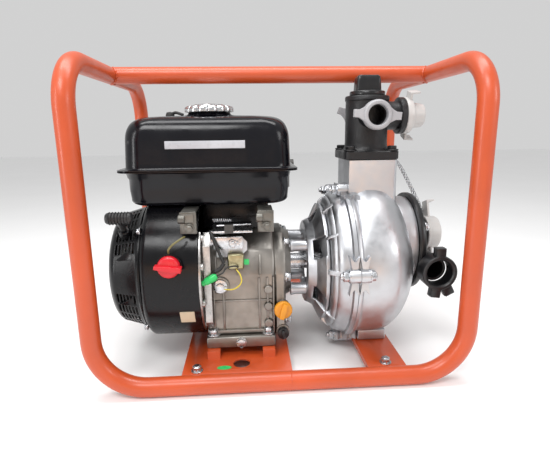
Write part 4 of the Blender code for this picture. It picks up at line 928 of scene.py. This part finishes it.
def build_volute():
    start = JOINT_X + 0.2
    knots = [(112.4, 112.2, 0.02), (116, 113.0, 0.05), (128, 113.6, 0.09), (140, 113.4, 0.1),
             (152, 112, 0.1), (162, 109.2, 0.09), (169, 105.0, 0.08), (176, 99.4, 0.07), (182, 93.2, 0.06),
             (188.4, 84.4, 0.045), (194, 75, 0.03), (198.4, 65.4, 0.015), (201, 56, 0.0), (203, 42, 0.0)]
    line = smooth_line(knots, 4)
    rings = [volute_ring(start, 104, 0), volute_ring(start, 116.8, 0), volute_ring(start + 0.6, 117.7, 0),
             volute_ring(start + 5, 117.7, 0), volute_ring(start + 6.2, 116.6, 0),
             volute_ring(start + 7.2, 113.6, 0.01)]
    rings += [volute_ring(p.x, p.y, p.z) for p in line]
    rings += [volute_ring(198, 40, 0), volute_ring(160, 100, 0.05), volute_ring(128, 106, 0.08)]
    work = bmesh.new()
    add_rings(work, rings, ring_loop=True)
    finish("volute_dome", work, silver_dome, "front_volute", smooth=45)

    work = bmesh.new()
    rings = []
    for z, grow, corner in ((216, 1.5, 9), (240, 0.3, 7), (258, -0.4, 6), (286, -0.6, 6), (292, -0.3, 6),
                            (299.4, 0, 6)):
        half = 39 + grow
        ring = rounded_ring((OUTLET_X, CRANK_Y), half, half, corner, z, 8)
        rings.append([(max(x, start + 1), y, z) for x, y, z in ring])
    rings += [rounded_ring((OUTLET_X, CRANK_Y), 25, 25, 25, z, 8) for z in (299.4, 262)]
    add_rings(work, rings)
    finish("volute_neck", work, silver_dome, "front_volute", smooth=50)
    work = bmesh.new()
    profile = [(70, 178), (70.4, 199), (69.6, 203.2), (66, 203.8), (41, 203.8), (40, 203), (40, 178)]
    add_turned(work, profile, (0, CRANK_Y, COVER_Z), (1, 0, 0), loop=True)
    finish("suction_boss", work, silver_dome, "front_volute")
    work = bmesh.new()
    add_box(work, (122, 166), (-96, 6), (21.4, 38))
    finish("volute_foot", work, silver_dome, "front_volute", bevel=2.0)


def hourglass(half_wide, top, waist):
    """Webbed outline of a casting lug, standing on its boss."""
    return [(-half_wide * 0.72, 0), (half_wide * 0.72, 0), (half_wide * 0.52, waist), (half_wide, top),
            (half_wide * 0.12, top * 0.72), (-half_wide * 0.12, top * 0.72), (-half_wide, top),
            (-half_wide * 0.52, waist)]


def build_lugs():
    """Six lugs around the parting flange, each with a through bolt, a nut and webs on the front half."""
    rear, front, bolts = bmesh.new(), bmesh.new(), bmesh.new()
    for angle in LUG_ANGLES:
        y, z = around(angle, LUG_R)
        add_turned(rear, [(9.3, 0), (9.5, 0.8), (9.5, 13.6)], (JOINT_X - 14, y, z), (1, 0, 0), steps=40)
        add_turned(front, [(9.5, 0), (9.5, 12), (8.8, 12.9)], (JOINT_X + 0.2, y, z), (1, 0, 0), steps=40)
        out = Vector((0, -math.cos(math.radians(angle)), math.sin(math.radians(angle))))
        up = Vector((0, math.sin(math.radians(angle)), math.cos(math.radians(angle))))
        radial = Matrix(((1, 0, 0, 0), (0, up.y, out.y, 0), (0, up.z, out.z, 0), (0, 0, 0, 1)))
        for work, sign in ((rear, -1), (front, 1)):
            base = Vector((JOINT_X + sign * 7, CRANK_Y, CRANK_Z)) + out * (LUG_R - 3)
            place = Matrix.Translation(base) @ radial
            outline = hourglass(7.0, 27, 9)
            add_prism(work, outline, "Z", -14, 4.2, place)
            add_prism(work, [(a, -b) for a, b in outline][::-1], "Z", -14, 2.4, place)
        add_screw(bolts, (JOINT_X - 13.6, y, z), (-1, 0, 0), 12.4, 8.2)
        if angle != LUG_ANGLES[-1]:
            add_screw(bolts, (JOINT_X + 13, y, z), (1, 0, 0), 12.4, 7.2)
        stud_start = JOINT_X - 23
        add_turned(bolts, [(3.9, 0), (4.1, 0.6), (3.8, 3.2), (3.2, 4.0)], (stud_start, y, z), (-1, 0, 0),
                   steps=24)
    finish("rear_casing_lugs", rear, bright_cast, bevel=0.7)
    finish("volute_lugs", front, silver_dome, bevel=0.7)
    finish("casing_bolts", bolts, zinc, bevel=0.2, segments=2)


def build_rear_casing():
    knots = [(118, 33.8), (118, 28.2), (116.6, 27.4), (113.4, 26.6), (112.4, 24), (111.2, 19.5),
             (109.6, 15.6), (107.2, 11.8), (104.4, 9.0), (103.4, 8.6), (102.2, 6.0), (99.4, 3.6),
             (95.4, 1.8), (90, 0.9), (82, 0.5), (70, 0.2), (22, 0.2), (22, 6), (68, 6), (92, 12), (102, 20),
             (104, 33.8)]
    work = bmesh.new()
    add_turned(work, knots, (70, CRANK_Y, CRANK_Z), (1, 0, 0), steps=FINE * 2, loop=True)
    finish("rear_casing_dish", work, bright_cast, "rear_casing", smooth=32, bevel=0.0)

    # Radial webs between the bell and the rim, and a curved step between them.
    work = bmesh.new()
    outline = [(70, 60), (66, 88), (67, 95), (72, 100), (82, 107), (98, 112), (98, 100), (84, 84)]
    for i, angle in enumerate((6, 36, 67, 97, 128, 158, 186, 212, 240, 262, 290, 320)):
        turn = turned_place((0, CRANK_Y, CRANK_Z), -angle, "X")
        half = 3.6 if i % 2 == 0 else 2.2
        ring_low = [turn @ Vector((x, -r, -half)) for x, r in outline]
        ring_high = [turn @ Vector((x, -r, half)) for x, r in outline]
        add_rings(work, [ring_low, ring_high])
    finish("rear_casing_webs", work, bright_cast, bevel=0.9)


def build_adapter():
    set_node_material(bright_cast, "pump_adapter")
    soften(0.8, "pump_adapter")
    work = bmesh.new()
    for i in range(4):
        y, z = around(45 + 90 * i, 48.3)
        add_turned(work, [(9.6, 0), (9.6, 3), (8.9, 5), (8.7, 22), (9.8, 27), (11, 29)], (18.6, y, z),
                   (1, 0, 0), steps=40)
        add_turned(work, [(3.6, 0), (3.6, 2)], (18.5, y, z), (-1, 0, 0), steps=24)
    finish("adapter_standoffs", work, bright_cast, bevel=0.3)


def build_suction_side():
    """Black inlet cover with ribs and screws, and its side branch."""
    face = 204.35
    work = bmesh.new()
    cover = [(75.2, 0), (76, 0.8), (76, 6.4), (75, 8.4), (72.6, 9.4), (60, 9.4), (58, 8.6), (40, 8.6),
             (38, 9.8), (26, 10.4), (20, 10.4)]
    add_turned(work, cover, (face, CRANK_Y, COVER_Z), (1, 0, 0))
    add_turned(work, [(27, 6), (26, 12), (24, 14), (24, 31.4)], (face, CRANK_Y, SUCTION_Z), (1, 0, 0))
    root_y = CRANK_Y - 42
    add_turned(work, [(20, 6), (17.4, 10), (17, BRANCH_X - face)], (face, root_y, BRANCH_Z), (1, 0, 0),
               steps=64)
    pipe = [(10, 0), (16.4, 3), (18, 9), (18, 46), (17.4, 46.8), (14.6, 46.8), (14, 46), (14, 8), (2, 7)]
    add_turned(work, pipe, (BRANCH_X, root_y + 12, BRANCH_Z), (0, -1, 0), steps=64)
    for i in range(8):
        angle = math.radians(20 + 45 * i)
        centre = (face + 8.4, CRANK_Y + 48 * math.cos(angle), COVER_Z + 48 * math.sin(angle))
        add_box(work, 3.6, 20, 3, Euler((angle, 0, 0)), centre)
    finish("inlet_cover_moulding", work, cover_black, "suction_cover", bevel=0.6)
    work = bmesh.new()
    for i in range(6):
        angle = math.radians(30 + 60 * i)
        add_screw(work, (213.6, CRANK_Y + 67 * math.cos(angle), COVER_Z + 67 * math.sin(angle)), (1, 0, 0),
                  10.2, 4.6)
    finish("inlet_cover_screws", work, zinc, bevel=0.2, segments=2)


def folded_ears(work, centre, angles, reach, width, depth, thickness=2.6):
    """Sheet ears that stand out from a cap turning about X and fold outwards at their tips."""
    for angle in angles:
        turn = turned_place(centre, angle, "X")
        half = thickness / 2
        outline = [(-half, 8), (-half, reach + 9.4), (depth - half, reach + 10.4),
                   (depth - half, reach + 7.8), (half, reach + 6.8), (half, 8)]
        low = [turn @ Vector((x, r, -width / 2)) for x, r in outline]
        high = [turn @ Vector((x, r, width / 2)) for x, r in outline]
        add_rings(work, [low, high])


def build_caps():
    start = node_box("suction_cap")[0][0]
    work = bmesh.new()
    profile = [(23.2, 0), (26.4, 0), (27, 0.7), (27, 3), (26.2, 3.8), (26.1, 17.5), (25, 20.3), (22.4, 21.8),
               (19.6, 22), (18.8, 20.8), (1, 20.4), (1, 17.8), (22, 16)]
    add_turned(work, profile, (start, CRANK_Y, SUCTION_Z), (1, 0, 0), loop=True)
    folded_ears(work, (start + 9, CRANK_Y, SUCTION_Z), (70, 250), 42, 19, 12.6, 3.4)
    finish("inlet_cap_moulding", work, cap_grey, "suction_cap", body="inlet_cap", bevel=0.5)

    start = node_box("right_outlet_cap")[0][0]
    work = bmesh.new()
    profile = [(22.4, 0), (26.3, 0), (27, 0.7), (27, 3.4), (26, 9.4), (24.6, 10.6), (20, 11), (19.4, 12),
               (17.6, 26.5), (16.6, 29.2), (14.6, 29.9), (12, 29.9), (11.2, 28.6), (1, 28.2), (1, 26),
               (13, 26), (16, 12)]
    add_turned(work, profile, (start, CRANK_Y, OUTLET_Z), (1, 0, 0), loop=True)
    folded_ears(work, (start + 7, CRANK_Y, OUTLET_Z), (104, 290), 26, 18, 14.4, 3.4)
    finish("side_outlet_cap_moulding", work, cap_grey, "right_outlet_cap", body="side_outlet_cap", bevel=0.5)


def build_coupling():
    """Black ring nut with three square lugs and a chamfered mouth."""
    start = -123.35
    work = bmesh.new()
    profile = [(18.2, 0), (24.2, 0), (25, 0.8), (25, 21.6), (24, 22.9), (21, 22.9), (18.6, 20.6), (18, 19)]
    add_turned(work, profile, (BRANCH_X, start, BRANCH_Z), (0, -1, 0), loop=True)
    for angle in (90, 262, 298):
        a = math.radians(angle)
        place = (BRANCH_X + 28.8 * math.cos(a), start - 15.6, BRANCH_Z + 28.8 * math.sin(a))
        add_box(work, 14.4, 13.4, 13.4, Euler((0, -a, 0)), place)
        place = (BRANCH_X + 29.4 * math.cos(a), start - 15.6, BRANCH_Z + 29.4 * math.sin(a))
        add_box(work, 13, 9, 15.4, Euler((0, -a, 0)), place)
    finish("inlet_coupling_moulding", work, plug_black, "suction_coupling", body="inlet_coupling", bevel=1.1)


def build_outlet_head():
    """Black textured outlet casting: flange, barrel with collars and three necks."""
    base = 300.0
    half = 40.0
    work = bmesh.new()
    rings = []
    for z, inset in ((base + 0.2, 1.0), (base + 1.2, 0), (base + 11.4, 0), (base + 12.8, 1.4)):
        edge = half - inset
        rings.append(rounded_ring((OUTLET_X, CRANK_Y), edge, edge, 7.0, z, 8))
    add_rings(work, rings)
    barrel = [(37, base + 12.2), (33.6, base + 14.5), (32, base + 19), (31.5, base + 24), (31.5, 384),
              (32.6, 385.2), (32.6, 390), (31.4, 391.6), (24.6, 391.8), (24, 388), (24, 330)]
    add_turned(work, [(r, h) for r, h in barrel], (OUTLET_X, CRANK_Y, 0), (0, 0, 1))
    for direction in (-1, 1):
        neck = [(20, 26), (18.4, 31), (17, 34), (17, 46.5), (16.4, 49.8), (13.2, 49.8), (13, 48), (13, 20)]
        add_turned(work, neck, (OUTLET_X, CRANK_Y, OUTLET_Z), (0, direction, 0), steps=64)
    neck = [(24, 22), (22, 31), (21, 35), (21, 46), (26.2, 46.4), (27, 47.2), (27, 53.8), (26.2, 54.8),
            (18, 54.8), (17, 53), (17, 20)]
    add_turned(work, neck, (OUTLET_X, CRANK_Y, OUTLET_Z), (1, 0, 0))
    finish("outlet_head_casting", work, outlet_black, "outlet_head", smooth=40, bevel=0.0)
    work = bmesh.new()
    for sx in (-1, 1):
        for sy in (-1, 1):
            place = (OUTLET_X + 31 * sx, CRANK_Y + 31 * sy, base + 12.8)
            add_turned(work, [(9.4, 0), (9.4, 1.6), (8.6, 2.2)], place, (0, 0, 1), steps=40)
            add_hexagon(work, (place[0], place[1], place[2] + 1.8), (0, 0, 1), 12.2, 5.2)
    finish("flange_bolts", work, outlet_black, bevel=0.3, segments=2)


def build_filler_plug():
    top = node_box("filler_plug")[0][2] + 10
    work = bmesh.new()
    add_turned(work, [(24.6, 0.1), (26, 0.8), (26, 4.8), (25, 6.1), (21, 6.8), (1, 7.2)],
               (OUTLET_X, CRANK_Y, top), (0, 0, 1))
    rings = []
    for z, grow in ((4, 0), (22, -1.2), (26.5, -2.0), (28.8, -4.4)):
        rings.append(rounded_ring((OUTLET_X, CRANK_Y), 19 + grow, 12 + grow * 0.6, 4, top + z, 6))
    add_rings(work, rings)
    thread = []
    for i in range(9):
        thread += [(22.6, -9.6 + i * 1.05), (23.4, -9.1 + i * 1.05)]
    add_turned(work, thread, (OUTLET_X, CRANK_Y, top), (0, 0, 1))
    finish("filler_plug_moulding", work, plug_black, "filler_plug", body="priming_plug", smooth=40)


def build_outlet_ring(node, body, direction, tilt):
    """Grey ring nut with two tapering ears."""
    low, high = node_box(node)
    start = high[1] if direction < 0 else low[1]
    work = bmesh.new()
    profile = [(14.2, 0), (20, 0), (20.5, 0.6), (20.5, 8.6), (19.6, 10.6), (18.2, 11.9), (15.4, 11.9),
               (14.2, 10.8), (14, 9.6)]
    add_turned(work, profile, (OUTLET_X, start, OUTLET_Z), (0, direction, 0), loop=True)
    place = turned_place((OUTLET_X, start + direction * 6, OUTLET_Z), tilt, "Y")
    for side in (-1, 1):
        ear = [(side * 16, -11.5), (side * 21, -8.0), (side * 26, -5.4), (side * 33.2, -5.2),
               (side * 33.4, 5.2), (side * 26, 5.4), (side * 21, 8.0), (side * 16, 11.5)]
        add_prism(work, ear, "Y", -3.8, 3.8, place)
    finish(f"{node}_moulding", work, nylon_grey, node, body=body, bevel=1.0)


def build_chain():
    """Two lengths of fine link chain from the outlet flange to the inlet cap."""
    route = [(181, -40, 306), (186, -38, 298), (198, -34, 284), (212, -30, 262), (226, -27, 238),
             (238, -25, 216), (246, -24, 200)]
    work = bmesh.new()
    for shift in (0.0, 4.6):
        line = smooth_line([(x + shift * 0.7, y - shift * 0.7, z - shift * 0.3 * (i not in (0, 6))) for i,
                            (x, y, z) in enumerate(route)], 24)
        pitch = 4.6
        travelled = 0.0
        count = 0
        for a, b in zip(line, line[1:]):
            travelled += (b - a).length
            if travelled < pitch * count:
                continue
            along = (b - a).normalized()
            side = along.orthogonal().normalized()
            side = Matrix.Rotation(math.radians(90 * (count % 2)), 3, along) @ side
            link = []
            for k in range(16):
                t = 2 * math.pi * k / 16
                link.append(a + along * (3.1 * math.cos(t)) + side * (1.5 * math.sin(t)))
            add_tube(work, link, 0.5, sides=6, closed=True)
            count += 1
    finish("cap_chain_links", work, zinc, "cap_chain")


def build_pump():
    build_volute()
    build_rear_casing()
    build_lugs()
    build_adapter()
    build_suction_side()
    build_caps()
    build_coupling()
    build_outlet_head()
    build_filler_plug()
    build_outlet_ring("front_outlet_ring", "front_ring", -1, 4)
    build_outlet_ring("rear_outlet_ring", "rear_ring", 1, 20)
    build_chain()


def build_engine():
    build_engine_body()
    build_fan_housing()
    build_recoil_cover()
    build_starter_grip()
    build_switch()
    build_filler_cap()
    build_wiring()
    build_linkage()
    build_flange_bosses_shade_panel_and_labels()
    build_tank()
    build_fuel_cap()


# Stage, light and camera --------------------------------------------------------------------------------
def build_stage():
    floor_shader = Shader("pale_floor", (0.93, 0.93, 0.93), 0.0, 0.7)
    mottled(floor_shader, (0.93, 0.93, 0.93), 3.0, 0.01)
    work = bmesh.new()
    bmesh.ops.create_grid(work, x_segments=2, y_segments=2, size=6000)
    mesh = bpy.data.meshes.new("floor")
    work.to_mesh(mesh)
    work.free()
    mesh.transform(Matrix.Scale(MM, 4))
    floor = bpy.data.objects.new("floor", mesh)
    mesh.materials.append(floor_shader.material)
    bpy.context.scene.collection.objects.link(floor)


def add_area_light(name, place, target, size, power, colour=(1, 1, 1)):
    data = bpy.data.lights.new(name, "AREA")
    data.shape = "RECTANGLE"
    data.size, data.size_y = size
    data.energy = power
    data.color = colour
    light = bpy.data.objects.new(name, data)
    bpy.context.scene.collection.objects.link(light)
    light.location = place
    light.rotation_euler = (Vector(target) - Vector(place)).to_track_quat("-Z", "Y").to_euler()


def build_light():
    world = bpy.data.worlds.new("studio")
    world.use_nodes = True
    background = world.node_tree.nodes["Background"]
    background.inputs["Color"].default_value = (1.0, 1.0, 1.0, 1)
    background.inputs["Strength"].default_value = 0.64
    bpy.context.scene.world = world
    add_area_light("key", (-0.5, -1.3, 1.7), (0, 0, 0.2), (0.9, 0.5), 18)
    add_area_light("strip_left", (-1.4, -0.9, 0.6), (0, 0, 0.25), (0.22, 1.1), 7)
    add_area_light("fill_right", (1.5, -1.1, 0.9), (0.1, 0, 0.2), (0.5, 0.6), 7)
    add_area_light("overhead", (-0.05, -0.12, 1.35), (-0.05, -0.1, 0), (1.3, 0.4), 13)
    add_area_light("warm_floor", (-0.1, -1.3, 0.15), (-0.05, 0, 0.15), (1.6, 0.2), 1.6, (1.0, 0.5, 0.22))


CAMERA_PLACE = (-0.0423, -0.6997, 0.3431)
CAMERA_YAW = 3.54  # degrees towards +X
CAMERA_PITCH = 12.47  # degrees below the horizon
CAMERA_ROLL = 0.71
CAMERA_LENS = 27.91


def build_camera():
    yaw, pitch, roll = (math.radians(v) for v in (CAMERA_YAW, CAMERA_PITCH, CAMERA_ROLL))
    forward = Vector((math.sin(yaw) * math.cos(pitch), math.cos(yaw) * math.cos(pitch), -math.sin(pitch)))
    right = Vector((math.cos(yaw), -math.sin(yaw), 0))
    down = forward.cross(right)
    across = right * math.cos(roll) + down * math.sin(roll)
    below = down * math.cos(roll) - right * math.sin(roll)
    camera = bpy.data.objects.new("camera", bpy.data.cameras.new("camera"))
    camera.data.lens = CAMERA_LENS
    camera.data.sensor_width = 36
    camera.data.clip_start = 0.01
    camera.matrix_world = Matrix(((across.x, -below.x, -forward.x, CAMERA_PLACE[0]),
                                  (across.y, -below.y, -forward.y, CAMERA_PLACE[1]),
                                  (across.z, -below.z, -forward.z, CAMERA_PLACE[2]), (0, 0, 0, 1)))
    bpy.context.scene.collection.objects.link(camera)
    bpy.context.scene.camera = camera


build_frame()
build_engine()
build_pump()
build_stage()
build_light()
build_camera()
bpy.context.scene.view_settings.view_transform = "Standard"
